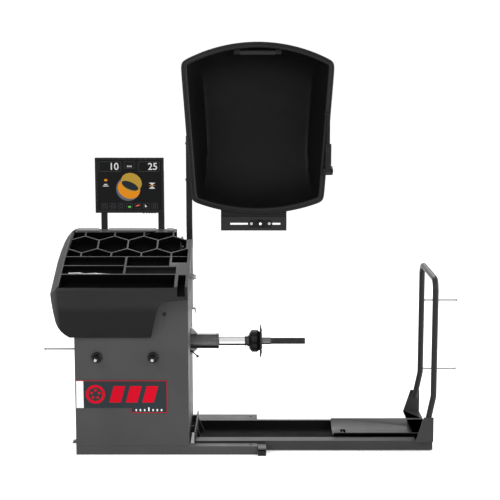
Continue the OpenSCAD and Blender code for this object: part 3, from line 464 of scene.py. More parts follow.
def in_pocket(face):
    """True for a face of the hood that lies more than 7 mm under the tray's surface."""
    middle = face.center
    rise, run = middle.z - TRAY_FRONT.z, middle.y - TRAY_FRONT.y
    over = rise * math.cos(TRAY_SLOPE) - run * math.sin(TRAY_SLOPE)
    return -70 * MM < over < -7 * MM and -0.364 < middle.x < 0.286 and middle.y > -0.371


def hood():
    obj = rounded_copy("tray_hood", HOOD, 1.6 * MM, 3)
    # The pocket faces take the near-black material: painted shade.
    repaint(obj, POCKET_SHADE, in_pocket)
    bm = bmesh.new()
    for x in (-0.270, 0.085):
        block(bm, (x - 2 * MM, -0.3185, 0.634), (x + 2 * MM, -0.3145, 0.648), 0.8 * MM)
    piece("hood_clips", bm, BLACK, "machine")
    pliers()


def pliers():
    """Weight pliers lying in the second long tray."""
    floor = -26 * MM + 5.5 * MM
    bm = bmesh.new()
    runs = [[(-0.330, 0.176), (-0.275, 0.170), (-0.245, 0.182), (-0.190, 0.186), (-0.092, 0.176)],
            [(-0.330, 0.184), (-0.275, 0.188), (-0.245, 0.178), (-0.190, 0.170), (-0.100, 0.164)]]
    for k, run in enumerate(runs):
        corners = [tray_point(x, v, floor + (1 + 2 * k) * MM) for x, v in run]
        tube(bm, rounded_path(corners, 0.04), 4.5 * MM, 14)
    tip = tray_point(-0.260, 0.180, floor)
    lathe(bm, [(-4.5 * MM, 8 * MM), (-4 * MM, 9 * MM), (6 * MM, 9 * MM), (7 * MM, 8 * MM)], tip, "Z", 28)
    piece("weight_pliers", bm, ZINC, "machine")


# ---- pegs on the cabinet ----
def pegs():
    """Cone pegs on the front and rods on the left wall."""
    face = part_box("cabinet_shell")[0].y
    bases, rods = bmesh.new(), bmesh.new()
    low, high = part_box("cone_hanger_bases")
    middle = (low.z + high.z) / 2
    for x in (low.x + 29 * MM, high.x - 29 * MM):
        centre = (x, face, middle)
        lathe(bases, [(0, 28 * MM), (-1.5 * MM, 29 * MM), (-6.5 * MM, 29 * MM), (-8 * MM, 27.5 * MM),
                      (-8.5 * MM, 23 * MM), (-12 * MM, 19 * MM), (-16 * MM, 15.6 * MM), (-18 * MM, 15 * MM),
                      (-58 * MM, 15 * MM), (-60 * MM, 13.5 * MM), (-60 * MM, 8.3 * MM), (0, 8.3 * MM)],
              centre, "Y", 56, closed=True)
        lathe(rods, [(0, 8 * MM), (-72 * MM, 8 * MM), (-74 * MM, 7.4 * MM), (-75 * MM, 5.5 * MM)],
              centre, "Y", 40)
    stand_in("cone_pegs", bases, BLACK, "cone_hanger_bases")
    stand_in("cone_peg_rods", rods, ZINC, "cone_hanger_rods")
    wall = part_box("cabinet_shell")[0].x
    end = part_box("side_hangers")[0].x
    bm = bmesh.new()
    for y, z in ((-0.130, 0.530), (0.160, 0.700)):
        hanger_rod(bm, "X", wall + 3 * MM, end, 4.9 * MM, (0, y, z))
        lathe(bm, [(wall, 10.5 * MM), (wall - 1.5 * MM, 11 * MM), (wall - 1.6 * MM, 7 * MM)],
              (0, y, z), "X", 32)
        hexagon(bm, "X", wall - 1.5 * MM, wall - 7 * MM, 15 * MM, (0, y, z))
    stand_in("side_hanger_rods", bm, ROD, "side_hangers")
    plug = bmesh.new()
    lathe(plug, [(0, 10.5 * MM), (-1.4 * MM, 10.5 * MM), (-1.6 * MM, 9 * MM)], (0.174, face, 0.752), "Y", 32)
    hexagon(plug, "Y", -1.4 * MM, -6 * MM, 15.5 * MM, (0.174, face, 0.752))
    stand_in("wall_plug_bolt", plug, SATIN, "wall_plug")


def hanger_rod(bm, axis, start, end, radius, centre):
    """A rod with a rounded stop disc on its free end."""
    sign = 1 if end > start else -1
    outline = [(4.2 * MM, radius), (4 * MM, 9.4 * MM), (3 * MM, 10 * MM), (1 * MM, 10 * MM), (0, 9 * MM)]
    lathe(bm, [(start, radius)] + [(end - sign * back, size) for back, size in outline], centre, axis, 36)


# ---- badge ----
def badge():
    """A plate with a ring of five holes, slanted bars and ticks, which stand for no mark."""
    low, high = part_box("badge_plate")
    rounded_copy("badge_plate", PLATE, 0.6 * MM)
    face, proud = low.y, 0.6 * MM
    step_x, step_z = -0.006, low.z + 26 * MM
    line = 2.6 * MM
    red = bmesh.new()
    for x0, x1, z0, z1 in ((low.x, high.x, high.z - line, high.z),
                           (high.x - line, high.x, low.z, high.z),
                           (step_x, high.x, low.z, low.z + line),
                           (step_x, step_x + line, low.z, step_z)):
        block(red, (x0, face - proud, z0), (x1, face, z1), 0.25 * MM, 1)
    middle = (step_z + high.z) / 2
    lathe(red, [(face, 50 * MM), (face - proud, 49.5 * MM), (face - proud, 36.5 * MM), (face, 36 * MM)],
          (-0.190, 0, middle), "Y", 72, closed=True)
    for i in range(5):
        angle = math.tau * i / 5 + math.pi / 2
        lathe(red, [(face, 7 * MM), (face - proud, 6.6 * MM)],
              (-0.190 + 21 * MM * math.cos(angle), 0, middle + 21 * MM * math.sin(angle)), "Y", 24)
    for i in range(3):
        x = -0.118 + 0.086 * i
        outline = [(x, middle - 44 * MM), (x + 60 * MM, middle - 44 * MM), (x + 84 * MM, middle + 44 * MM),
                   (x + 24 * MM, middle + 44 * MM)]
        prism(red, outline, "Y", face - proud, face)
    piece("badge_red_marks", red, RED, "machine")
    pale = bmesh.new()
    block(pale, (low.x, face - proud, step_z), (low.x + 38 * MM, face, high.z - line), 0.3 * MM, 1)
    for i in range(7):
        x = 0.022 + 0.022 * i
        tall = 20 * MM if i == 3 else 11 * MM
        base = low.z + 9 * MM
        block(pale, (x - 3.5 * MM, face - proud, base), (x + 3.5 * MM, face, base + tall), 0.4 * MM, 1)
    piece("badge_pale_marks", pale, PALE, "machine")


# ---- monitor ----
def ellipse(centre, across, up, turn, steps=48):
    c, s = math.cos(turn), math.sin(turn)
    return [(centre[0] + across * math.cos(a) * c - up * math.sin(a) * s,
             centre[1] + across * math.cos(a) * s + up * math.sin(a) * c)
            for a in (math.tau * k / steps for k in range(steps))]


def frame_lines(bm, x0, x1, z0, z1, face, width=1.4 * MM, proud=0.3 * MM):
    """A thin rectangle drawn on the screen."""
    for a0, a1, b0, b1 in ((x0, x1, z0, z0 + width), (x0, x1, z1 - width, z1),
                           (x0, x0 + width, z0, z1), (x1 - width, x1, z0, z1)):
        block(bm, (a0, face - proud, b0), (a1, face, b1), 0.1 * MM, 1)


def digits(name, text, right, base, height, face):
    """Generic digits, right aligned."""
    curve = bpy.data.curves.new(name + "_curve", "FONT")
    curve.body = text
    curve.size = height * 1.36
    curve.offset = height * 0.012
    curve.extrude = 0.15 * MM
    curve.align_x = "RIGHT"
    source = bpy.data.objects.new(name + "_source", curve)
    bpy.context.scene.collection.objects.link(source)
    bpy.context.view_layer.update()
    mesh = bpy.data.meshes.new_from_object(source.evaluated_get(bpy.context.evaluated_depsgraph_get()))
    bpy.data.objects.remove(source)
    bm = bmesh.new()
    bm.from_mesh(mesh)
    bmesh.ops.remove_doubles(bm, verts=bm.verts[:], dist=0.01 * MM)
    for v in bm.verts:
        v.co = Vector((v.co.x + right, face - 0.2 * MM - v.co.z, v.co.y + base))
    piece(name, bm, WHITE_LIGHT, "machine")


def monitor():
    rounded_copy("monitor_posts", SATIN, 3.0 * MM, 3)
    rounded_copy("monitor_housing", BLACK, 2.2 * MM, 3)
    rounded_copy("monitor_screen", GLASS, 0.6 * MM)
    for i in range(1, 6):
        rounded_copy(f"monitor_button_{i}", BLACK, 0.9 * MM, 2)
    low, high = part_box("monitor_screen")
    screen(low, high)


def screen(low, high):
    """A made-up display: two readings, a tilted rim, arrows and a row of icons."""
    wide, tall, face = high.x - low.x, high.z - low.z, low.y

    def at(u, v):
        return low.x + u * wide, low.z + v * tall

    lines = bmesh.new()
    for u0, u1, v0, v1 in ((0.02, 0.37, 0.775, 0.975), (0.64, 0.975, 0.775, 0.975),
                           (0.42, 0.58, 0.84, 0.975)):
        frame_lines(lines, at(u0, 0)[0], at(u1, 0)[0], at(0, v0)[1], at(0, v1)[1], face)
    for i in range(7):
        u = 0.055 + 0.1315 * i
        frame_lines(lines, at(u, 0)[0], at(u + 0.095, 0)[0], at(0, 0.02)[1], at(0, 0.14)[1], face)
    piece("screen_lines", lines, LINE_LIGHT, "machine")
    digits("screen_reading_left", "10", at(0.335, 0)[0], at(0, 0.81)[1], 0.145 * tall, face)
    digits("screen_reading_right", "25", at(0.945, 0)[0], at(0, 0.81)[1], 0.145 * tall, face)
    layers = (("screen_rim_shadow", SILVER, (0.480, 0.43), 0.190, 0.245, -0.35, 0.10),
              ("screen_rim_outer", AMBER, (0.490, 0.425), 0.180, 0.190, -0.45, 0.20),
              ("screen_rim_inner", OCHRE, (0.530, 0.560), 0.168, 0.180, -0.45, 0.30),
              ("screen_rim_hole", SLATE, (0.507, 0.490), 0.140, 0.075, -0.42, 0.40))
    for name, finish, middle, across, up, turn, out in layers:
        bm = bmesh.new()
        prism(bm, ellipse(at(*middle), across * wide, up * tall, turn), "Y", face - out * MM, face)
        piece(name, bm, finish, "machine")
    white, amber, green, red = (bmesh.new() for _ in range(4))
    x, z = at(0.855, 0.49)
    for sign in (-1, 1):
        foot = z + sign * 16 * MM
        prism(white, [(x - 17 * MM, foot), (x + 17 * MM, foot), (x, z + sign * 2.5 * MM)],
              "Y", face - 0.3 * MM, face)
    block(amber, (x - 17 * MM, face - 0.4 * MM, z - 1.2 * MM),
          (x + 17 * MM, face, z + 1.2 * MM), 0.15 * MM, 1)
    x, z = at(0.125, 0.55)
    block(white, (x - 15 * MM, face - 0.3 * MM, z - 20 * MM), (x + 15 * MM, face, z - 16 * MM), 0.15 * MM, 1)
    block(white, (x - 9 * MM, face - 0.3 * MM, z - 12 * MM), (x + 9 * MM, face, z - 7 * MM), 0.15 * MM, 1)
    prism(amber, ellipse((x + 1 * MM, z + 14 * MM), 9 * MM, 6.5 * MM, 0), "Y", face - 0.3 * MM, face)
    x, z = at(0.50, 0.885)
    for k in range(4):
        block(white, (x - 12 * MM + 7 * MM * k, face - 0.3 * MM, z - 6 * MM),
              (x - 8.5 * MM + 7 * MM * k, face, z + 3 * MM), 0.15 * MM, 1)
    icons = [at(0.1025 + 0.1315 * i, 0.08) for i in range(7)]
    prism(green, ellipse((icons[3][0], icons[3][1] - 4 * MM), 9 * MM, 5 * MM, 0), "Y", face - 0.3 * MM, face)
    prism(red, ellipse((icons[4][0], icons[4][1] + 3 * MM), 11 * MM, 3.2 * MM, 0.3),
          "Y", face - 0.3 * MM, face)
    x, z = icons[5]
    prism(white, [(x - 7 * MM, z + 9 * MM), (x - 7 * MM, z - 7 * MM), (x + 5 * MM, z - 3 * MM)],
          "Y", face - 0.3 * MM, face)
    dim = bmesh.new()
    for i in (0, 1, 2, 6):
        x, z = icons[i]
        lathe(dim, [(face, 9 * MM), (face - 0.3 * MM, 9 * MM), (face - 0.3 * MM, 7 * MM), (face, 7 * MM)],
              (x, 0, z), "Y", 30, closed=True)
    for name, bm, finish in (("screen_white_marks", white, WHITE_LIGHT),
                             ("screen_amber_marks", amber, AMBER),
                             ("screen_green_mark", green, LEAF),
                             ("screen_red_mark", red, CORAL),
                             ("screen_dim_marks", dim, LINE_LIGHT)):
        piece(name, bm, finish, "machine")


# ---- spindle ----
def turned(name, node, finish, profile, closed=True):
    """A turned part on the spindle axis that stands for a CAD node."""
    bm = bmesh.new()
    lathe(bm, profile, (0, 0, SPINDLE_Z), "X", 96, closed)
    return stand_in(name, bm, finish, node)


def spindle():
    low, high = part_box("spindle_housing")
    start, end = low.x, high.x
    radius, bore = 41.5 * MM, 28 * MM
    turned("spindle_sleeve", "spindle_housing", GUNMETAL, [
        (start, bore), (start, 54 * MM), (start + 1 * MM, 54.5 * MM), (start + 11 * MM, 54.5 * MM),
        (start + 12 * MM, radius), (end - 13 * MM, radius), (end - 12 * MM, 43 * MM),
        (end - 4.5 * MM, 43 * MM), (end - 4 * MM, radius), (end - 1.5 * MM, radius),
        (end, radius - 1.5 * MM), (end, 30 * MM),
        (end - 3 * MM, 29 * MM), (end - 3 * MM, bore)])
    rounded_copy("spindle_collar", CREAM, 1 * MM)
    low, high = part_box("spindle_spacer")
    bore = 21.05 * MM
    sleeve = turned("spindle_sleeve_polished", "spindle_spacer", CHROME, [
        (low.x, bore), (low.x, 25 * MM), (low.x + 1 * MM, 26 * MM), (0.588, 26 * MM), (0.589, 25 * MM),
        (0.590, 25 * MM), (0.591, 29 * MM), (0.595, 29 * MM), (0.596, 25.2 * MM), (0.601, 25.2 * MM),
        (0.602, 30.5 * MM), (0.6035, 31 * MM), (0.6095, 31 * MM), (high.x, 30 * MM), (high.x, bore)])
    repaint(sleeve, THREAD, lambda face: face.center.x > 0.5885)
    shaft()
    hub(bore)
    disc(bore)
    for node, finish in (("spindle_bearings", STEEL), ("spindle_stand", DARK), ("force_sensors", ZINC),
                         ("spindle_pulley", STEEL), ("encoder_disc", ALLOY), ("motor", MOTOR),
                         ("motor_pulley", STEEL), ("drive_belt", RUBBER), ("control_box", ZINC)):
        keep(node, finish)


def shaft():
    """The shaft, with a true helical thread."""
    low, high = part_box("spindle_shaft")
    plain_end, pitch, depth = 0.728, 4.0 * MM, 1.3 * MM
    steps, per_pitch = 40, 8
    profile = [(low.x, 21.5 * MM), (low.x + 1 * MM, 22.5 * MM), (0.4485, 22.5 * MM), (0.4485, 21 * MM),
               (0.681, 21 * MM), (0.681, 20 * MM), (plain_end - 1.5 * MM, 20 * MM), (plain_end, 18 * MM)]
    bm = bmesh.new()
    rings = []

    def ring(along, radius_at):
        rings.append([bm.verts.new(spot("X", along, radius_at(math.tau * k / steps), math.tau * k / steps,
                                        (0, 0, SPINDLE_Z))) for k in range(steps)])

    for along, radius in profile:
        ring(along, lambda angle, r=radius: r)
    count = int((high.x - plain_end) / pitch * per_pitch)
    for i in range(1, count + 1):
        along = plain_end + (high.x - plain_end) * i / count
        fade = min(1.0, (along - plain_end) / (2 * pitch), (high.x - along) / (1.5 * pitch) + 0.25)

        def radius_at(angle, along=along, fade=fade):
            phase = ((along - plain_end) / pitch - angle / math.tau) % 1.0
            groove = min(1.0, max(0.0, 1.35 - abs(phase - 0.5) * 4.2))
            taper = max(0.0, 1 - (high.x - along) / (3 * MM)) * 3.5 * MM
            return 18 * MM - depth * groove * fade - taper
        ring(along, radius_at)
    bridge(bm, rings, capped=True)
    obj = stand_in("spindle_threaded_shaft", bm, STEEL, "spindle_shaft")
    repaint(obj, THREAD, lambda face: face.center.x > plain_end - 1 * MM)


def hub(bore):
    """The hub, with eight finger flutes round its rim."""
    low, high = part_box("flange_hub")
    profile = [(low.x, bore), (low.x, 41 * MM), (low.x + 1 * MM, 42 * MM), (low.x + 12 * MM, 57 * MM),
               (low.x + 15 * MM, 60 * MM), (low.x + 17 * MM, 60.5 * MM), (high.x - 15 * MM, 60.5 * MM),
               (high.x - 13 * MM, 59 * MM), (high.x - 1 * MM, 50 * MM), (high.x, 49 * MM), (high.x, bore)]
    steps, flutes = 192, 8
    bm = bmesh.new()
    rings = []
    for along, radius in profile:
        fluted = 56 * MM < radius
        rings.append([])
        for k in range(steps):
            angle = math.tau * k / steps
            dip = 8 * MM * max(0.0, math.cos(flutes * angle) - 0.6) / 0.4 if fluted else 0.0
            rings[-1].append(bm.verts.new(spot("X", along, radius - dip, angle, (0, 0, SPINDLE_Z))))
    bridge(bm, rings + rings[:1])
    stand_in("flange_hub_fluted", bm, BLACK, "flange_hub")


def disc(bore):
    """The flange disc and the four socket screws that hold it to the hub."""
    low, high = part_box("flange_disc")
    face = low.x + 9 * MM
    turned("flange_disc_turned", "flange_disc", SATIN, [
        (low.x, bore), (low.x, 86.5 * MM), (low.x + 1.5 * MM, 88 * MM), (face - 1.5 * MM, 88 * MM),
        (face, 86.5 * MM), (face, 60 * MM), (face - 0.8 * MM, 59 * MM), (face - 0.8 * MM, 46 * MM),
        (face, 45 * MM), (high.x - 0.8 * MM, 45 * MM), (high.x, 44.2 * MM), (high.x, 22 * MM),
        (high.x - 1 * MM, bore)])
    bm = bmesh.new()
    for i in range(4):
        angle = math.tau * (i + 0.5) / 4
        centre = (0, 68 * MM * math.cos(angle), SPINDLE_Z + 68 * MM * math.sin(angle))
        lathe(bm, [(face - 1 * MM, 9 * MM), (face + 5 * MM, 9 * MM), (face + 6 * MM, 8 * MM),
                   (face + 6 * MM, 4.5 * MM), (face + 2.5 * MM, 4 * MM)], centre, "X", 30)
    piece("flange_screws", bm, ZINC, "spindle")


def lever():
    """The brake lever: a pin, a cranked arm and a ball."""
    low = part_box("lock_lever")[0]
    pin = Vector((0.296, frame_joint("brake_lever").y, frame_joint("brake_lever").z))
    bm = bmesh.new()
    bar(bm, "X", low.x, low.x + 6 * MM, 10 * MM, (0, pin.y, pin.z))
    bar(bm, "X", low.x + 5 * MM, pin.x + 5 * MM, 5 * MM, (0, pin.y, pin.z), 0.5 * MM)
    bar(bm, "X", pin.x + 4 * MM, pin.x + 14 * MM, 7 * MM, (0, pin.y, pin.z))
    reach = Vector((math.sin(math.radians(132)), 0, math.cos(math.radians(132))))
    start = pin + Vector((9 * MM, 0, 0))
    tube(bm, [start, start + reach * 12 * MM, start + reach * 35 * MM], 3.5 * MM, 20)
    ball = bmesh.ops.create_uvsphere(bm, u_segments=28, v_segments=18, radius=7.4 * MM)["verts"]
    bmesh.ops.translate(bm, verts=ball, vec=start + reach * 39 * MM)
    stand_in("brake_lever_arm", bm, BLACK, "lock_lever")


def frame_joint(name):
    """The point that a joint turns about."""
    joint = next(j for j in frame["joints"] if j["name"] == name)
    return Vector(joint["pos_m"])


# ---- distance gauge and rear electrics ----
def gauge():
    rounded_copy("gauge_arm", ROD, 1.2 * MM, 2)
    rounded_copy("gauge_rod", ZINC, 0.8 * MM, 2)
    keep("gauge_guide", DARK)
    arm_low, arm_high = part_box("gauge_arm")
    axis = frame_joint("gauge_arm_swing")
    bm = bmesh.new()
    bar(bm, "Y", -9 * MM, -3 * MM, 5 * MM, (arm_low.x + 8 * MM, axis.y - 9 * MM, axis.z), 1 * MM, 24)
    lathe(bm, [(0, 2.0 * MM), (-20 * MM, 2.0 * MM), (-24 * MM, 0.6 * MM)],
          (arm_high.x - 3 * MM, axis.y, arm_low.z + 24.2 * MM), "Z", 20)
    piece("gauge_clamp_and_tip", bm, ROD, "gauge_swing")
    inlet()


def inlet():
    rounded_copy("power_inlet", BLACK, 0.8 * MM, 2)
    rounded_copy("power_rocker", ROCKER, 0.8 * MM, 2)
    low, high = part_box("power_inlet")
    bm = bmesh.new()
    for dx, dz in ((0, 4), (-8, -3), (8, -3)):
        x, z = (low.x + high.x) / 2 + dx * MM, (low.z + high.z) / 2 + dz * MM
        block(bm, (x - 1.2 * MM, high.y - 22 * MM, z - 3 * MM),
              (x + 1.2 * MM, high.y - 6 * MM, z + 3 * MM), 0.5 * MM)
    piece("power_inlet_pins", bm, ZINC, "machine")


# ---- guard ----
GUARD_LOW, GUARD_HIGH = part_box("guard_shell")
GUARD_X = (GUARD_LOW.x + GUARD_HIGH.x) / 2
GUARD_MID = (GUARD_LOW.z + GUARD_HIGH.z) / 2
TOP_CORNER, BOTTOM_CORNER = 2.042, 1.280
TOP_HALF, BOTTOM_HALF = 0.416, 0.364
TAPER = 0.0724


def side_half(z):
    """Half the guard's width at a height."""
    return 0.359 + (z - 1.190) * TAPER


def arc_reach(half, rise, corner, sign, direction):
    """Distance from the guard's middle to its top or bottom arc, along a direction."""
    radius = (half * half + rise * rise) / 2 / rise
    centre = corner + sign * (rise - radius) - GUARD_MID
    along = direction[1] * centre
    return along + math.sqrt(radius * radius - centre * centre + along * along)


def guard_outline(steps=360, sharp=40):
    """The guard's outline, with soft corners, and its inward normals."""
    rise, drop = GUARD_HIGH.z - TOP_CORNER, BOTTOM_CORNER - GUARD_LOW.z
    points = []
    for k in range(steps):
        angle = math.tau * k / steps
        direction = (math.sin(angle), math.cos(angle))
        slant = abs(direction[0]) - TAPER * direction[1]
        reaches = [side_half(GUARD_MID) / slant] if slant > 0.02 else []
        if direction[1] > 0:
            reaches.append(arc_reach(TOP_HALF, rise, TOP_CORNER, 1, direction))
        if direction[1] < 0:
            reaches.append(arc_reach(BOTTOM_HALF, drop, BOTTOM_CORNER, -1, direction))
        reach = sum(r ** -sharp for r in reaches) ** (-1 / sharp)
        points.append(Vector((GUARD_X + direction[0] * reach, GUARD_MID + direction[1] * reach)))
    normals = []
    for k in range(steps):
        run = points[(k + 1) % steps] - points[k - 1]
        normals.append(Vector((run.y, -run.x)).normalized() * -1)
    return points, normals


def swept_ring(bm, profile):
    """A closed profile of (margin from the edge, depth) carried round the guard's outline."""
    points, normals = guard_outline()
    inward = 1 if normals[0].y < 0 else -1
    rings = [[bm.verts.new((p.x + n.x * margin * inward, GUARD_LOW.y + depth, p.y + n.y * margin * inward))
              for p, n in zip(points, normals)] for margin, depth in profile]
    bridge(bm, rings + rings[:1])


def guard():
    rim = bmesh.new()
    swept_ring(rim, [(mm[0] * MM, mm[1] * MM) for mm in (
        (3, 20), (0.8, 18), (0.2, 14), (0.2, 7), (1.2, 3.4), (3.5, 1.2), (6.5, 0.4), (8.5, 1.4), (10, 4.6),
        (12.5, 5.6), (15, 4.6), (16.5, 1.2), (19, 0), (24, 0), (28, 1.4), (31, 4.6), (33, 9), (33.6, 14),
        (33.6, 18), (31, 19.5), (26, 15), (10, 14), (6, 16))])
    piece("guard_rim", rim, RIM, "guard", ("guard_shell",))
    tub()
    handle()
    rounded_copy("guard_arm", SATIN, 3.0 * MM, 3)
    rounded_copy("guard_pivot_brackets", SATIN, 1.5 * MM, 2)
    bolts = bmesh.new()
    low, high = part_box("guard_bolts")
    for z in (low.z + 8 * MM, high.z - 8 * MM):
        centre = (0, (low.y + high.y) / 2, z)
        lathe(bolts, [(high.x, 8 * MM), (low.x + 4.6 * MM, 8 * MM), (low.x + 4.5 * MM, 7 * MM)],
              centre, "X", 32)
        hexagon(bolts, "X", low.x + 5 * MM, low.x, 13 * MM, centre)
    stand_in("guard_hex_bolts", bolts, ZINC, "guard_bolts")
    laser()
    width_gauge()


def tub():
    """The guard's fender: flat leaning sides and a back that curves from top to bottom."""
    columns, rows = 72, 64
    wall, start, deep = 4 * MM, 14 * MM, (GUARD_HIGH.y - GUARD_LOW.y) - 6 * MM
    rise, drop = GUARD_HIGH.z - TOP_CORNER, BOTTOM_CORNER - GUARD_LOW.z
    margin = 30 * MM

    def edge_z(x, half, height, corner, sign):
        radius = (half * half + height * height) / 2 / height
        centre = corner + sign * (height - radius)
        return centre + sign * math.sqrt(radius * radius - x * x) - sign * margin

    bm = bmesh.new()
    grid = []
    for i in range(rows + 1):
        v = 0.5 - 0.5 * math.cos(math.pi * i / rows)
        crease = 0.81 + 0.11 * max(0.0, 1 - 2 * v) ** 2 + 0.03 * max(0.0, 2 * v - 1) ** 2
        row = []
        for k in range(columns + 1):
            u = -1 + 2 * k / columns
            guess = BOTTOM_CORNER + v * (TOP_CORNER - BOTTOM_CORNER)
            x = u * (side_half(guess) - margin)
            bottom = edge_z(x, BOTTOM_HALF, drop, BOTTOM_CORNER, -1)
            top = edge_z(x, TOP_HALF, rise, TOP_CORNER, 1)
            z = bottom + v * (top - bottom)
            side = min(1.0, (1 - abs(u)) / (1 - crease))
            side = side + 0.10 * (1 - abs(2 * side - 1)) * (1 - side)
            arch = math.sqrt(max(0.0, 1 - (2 * v - 1) ** 2)) ** 0.9
            y = GUARD_LOW.y + start + (deep - start - wall) * arch * side
            row.append(bm.verts.new((GUARD_X + x, y, z)))
        grid.append(row)
    for near, far in zip(grid, grid[1:]):
        for k in range(columns):
            bm.faces.new((near[k], near[k + 1], far[k + 1], far[k]))
    bmesh.ops.recalc_face_normals(bm, faces=bm.faces[:])
    middle = grid[rows // 2][columns // 2]
    if middle.link_faces[0].normal.y < 0:
        bmesh.ops.reverse_faces(bm, faces=bm.faces[:])
    bmesh.ops.solidify(bm, geom=bm.faces[:], thickness=-wall)
    obj = piece("guard_tub", bm, GUARD, "guard")
    free = obj.vertex_groups.new(name="behind_the_rim")
    edge = GUARD_LOW.y + start + wall + 1 * MM
    free.add([v.index for v in obj.data.vertices if v.co.y > edge], 1.0, "REPLACE")
    smooth = obj.modifiers.new("smooth", "SMOOTH")
    smooth.factor = 0.5
    smooth.iterations = 3
    smooth.vertex_group = free.name


def handle():
    """A grip across the top of the guard, between two end blocks."""
    low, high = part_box("guard_handle")
    y = (low.y + high.y) / 2
    z = low.z + 12 * MM
    cap = 32 * MM
    bm = bmesh.new()
    block(bm, (low.x + cap, y - 10 * MM, z - 12 * MM), (high.x - cap, y + 9 * MM, z + 12 * MM), 5 * MM, 4)
    stand_in("guard_grip", bm, TUBE, "guard_handle")
    ends = bmesh.new()
    for side in (low.x, high.x - cap - 1 * MM):
        block(ends, (side, y - 9 * MM, z - 10 * MM),
              (side + cap + 1 * MM, y + 11 * MM, z + 24 * MM), 4 * MM, 3)
    piece("guard_grip_ends", ends, BLACK, "guard")


def laser():
    """The laser unit under the guard on its slotted plate, with its lens, lamp and two screws."""
    plate = rounded_copy("laser_bracket", TUBE, 0.6 * MM, 2, 50)
    # The upper strip of the plate turns black: painted shade under the guard.
    repaint(plate, BLACK, lambda part: part.center.z > 1.190)  # the upper strip
    rounded_copy("laser_unit", BLACK, 0.9 * MM, 2)
    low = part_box("laser_unit")[0]
    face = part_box("laser_bracket")[0].y
    eye = (0.673, low.y, 1.156)
    bm = bmesh.new()
    lathe(bm, [(0.5 * MM, 15.5 * MM), (-1.2 * MM, 14.5 * MM), (-1.2 * MM, 12 * MM), (-0.2 * MM, 10.5 * MM),
               (-0.2 * MM, 8 * MM), (-1.0 * MM, 7 * MM), (0.5 * MM, 6.8 * MM)], eye, "Y", 44, closed=True)
    piece("laser_lens_ring", bm, RIM, "guard")
    lamp = bmesh.new()
    lathe(lamp, [(0.5 * MM, 6.7 * MM), (-0.8 * MM, 6.5 * MM), (-1.8 * MM, 4.6 * MM), (-2.2 * MM, 2 * MM)],
          eye, "Y", 32)
    piece("laser_lamp", lamp, LAMP, "guard")
    screws = bmesh.new()
    for x in (0.624, 0.722):
        lathe(screws, [(2 * MM, 9 * MM), (-1.5 * MM, 9 * MM), (-3.5 * MM, 7.5 * MM), (-3.8 * MM, 3.5 * MM),
                       (-1.6 * MM, 3.2 * MM)], (x, face, 1.156), "Y", 32)
    piece("laser_screws", screws, ZINC, "guard")


def width_gauge():
    rounded_copy("width_gauge_bracket", BLACK, 1.5 * MM, 2)
    low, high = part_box("width_gauge_arm")
    pin = frame_joint("width_gauge_swing")
    bm = bmesh.new()
    bar(bm, "X", pin.x - 17 * MM, pin.x + 17 * MM, 13 * MM, (0, pin.y, pin.z), 1.5 * MM)
    block(bm, (pin.x - 17 * MM, pin.y - 11 * MM, pin.z),
          (pin.x + 17 * MM, pin.y + 11 * MM, pin.z + 149 * MM), 6 * MM, 4)
    block(bm, (pin.x - 9 * MM, pin.y - 5 * MM, pin.z + 145 * MM),
          (pin.x + 9 * MM, pin.y + 5 * MM, high.z - 2 * MM), 2 * MM, 3)
    bar(bm, "X", low.x, pin.x + 9 * MM, 7 * MM, (0, pin.y, high.z - 7 * MM), 1 * MM)
    for i in range(7):
        z = pin.z + 30 * MM + 15 * MM * i
        block(bm, (pin.x - 15 * MM, pin.y - 12.2 * MM, z),
              (pin.x + 15 * MM, pin.y + 12.2 * MM, z + 5 * MM), 1.2 * MM)
    stand_in("width_gauge_lever", bm, BLACK, "width_gauge_arm")


# ---- lift and trolley ----
def lift():
    obj = rounded_copy("lift_frame", STEEL_GREY, 1.6 * MM, 2)
    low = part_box("lift_frame")[0]
    # The low faces inside the channel take the near-black material: painted shade between the rails.
    repaint(obj, DECK_SHADE, lambda face: -0.167 < face.center.y < 0.151 and abs(face.normal.x) < 0.5
            and face.center.z < 0.050 and face.center.x > 0.330)
    rounded_copy("lift_carriage", DARK, 1.5 * MM, 2)
    keep("lift_columns", STEEL)
    keep("lift_cylinder", ZINC)
    keep("lift_piston_rod", CHROME)
    welds = bmesh.new()
    for side in (-0.1, 0.1):
        for edge in (-7 * MM, 7 * MM):
            bead(welds, (0.330, side + edge, low.z + 8 * MM), (0.330, side + edge, 0.088))
    bead(welds, (0.330, -0.164, low.z + 5 * MM), (0.330, 0.148, low.z + 5 * MM))
    piece("lift_welds", welds, DARK, "lift")


def trolley():
    rounded_copy("trolley", STEEL_GREY, 1.3 * MM, 2)
    low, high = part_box("trolley")
    welds = bmesh.new()
    for y in (low.y + 8 * MM, high.y - 8 * MM):
        bead(welds, (high.x - 88 * MM, y, 68.5 * MM), (high.x - 4 * MM, y, 68.5 * MM))
    piece("trolley_welds", welds, DARK, "trolley")
    for name in ("trolley_roller_left", "trolley_roller_right"):
        roller(name)
    hoop()


def roller(name):
    """A grooved steel roller on a thin axle."""
    low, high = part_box(name)
    x, z = (low.x + high.x) / 2, (low.z + high.z) / 2
    radius = 9 * MM
    bm = bmesh.new()
    profile = [(low.y, 3.5 * MM), (low.y + 0.5 * MM, 4 * MM), (-44 * MM, 4 * MM), (-44 * MM, radius - 1 * MM),
               (-43 * MM, radius)]
    for y in (-20 * MM, 20 * MM):
        profile += [(y - 2 * MM, radius), (y - 1 * MM, radius - 0.8 * MM), (y + 1 * MM, radius - 0.8 * MM),
                    (y + 2 * MM, radius)]
    profile += [(43 * MM, radius), (44 * MM, radius - 1 * MM), (44 * MM, 4 * MM), (high.y - 0.5 * MM, 4 * MM),
                (high.y, 3.5 * MM)]
    lathe(bm, profile, (x, 0, z), "Y", 40)
    stand_in(name + "_turned", bm, STEEL, name)


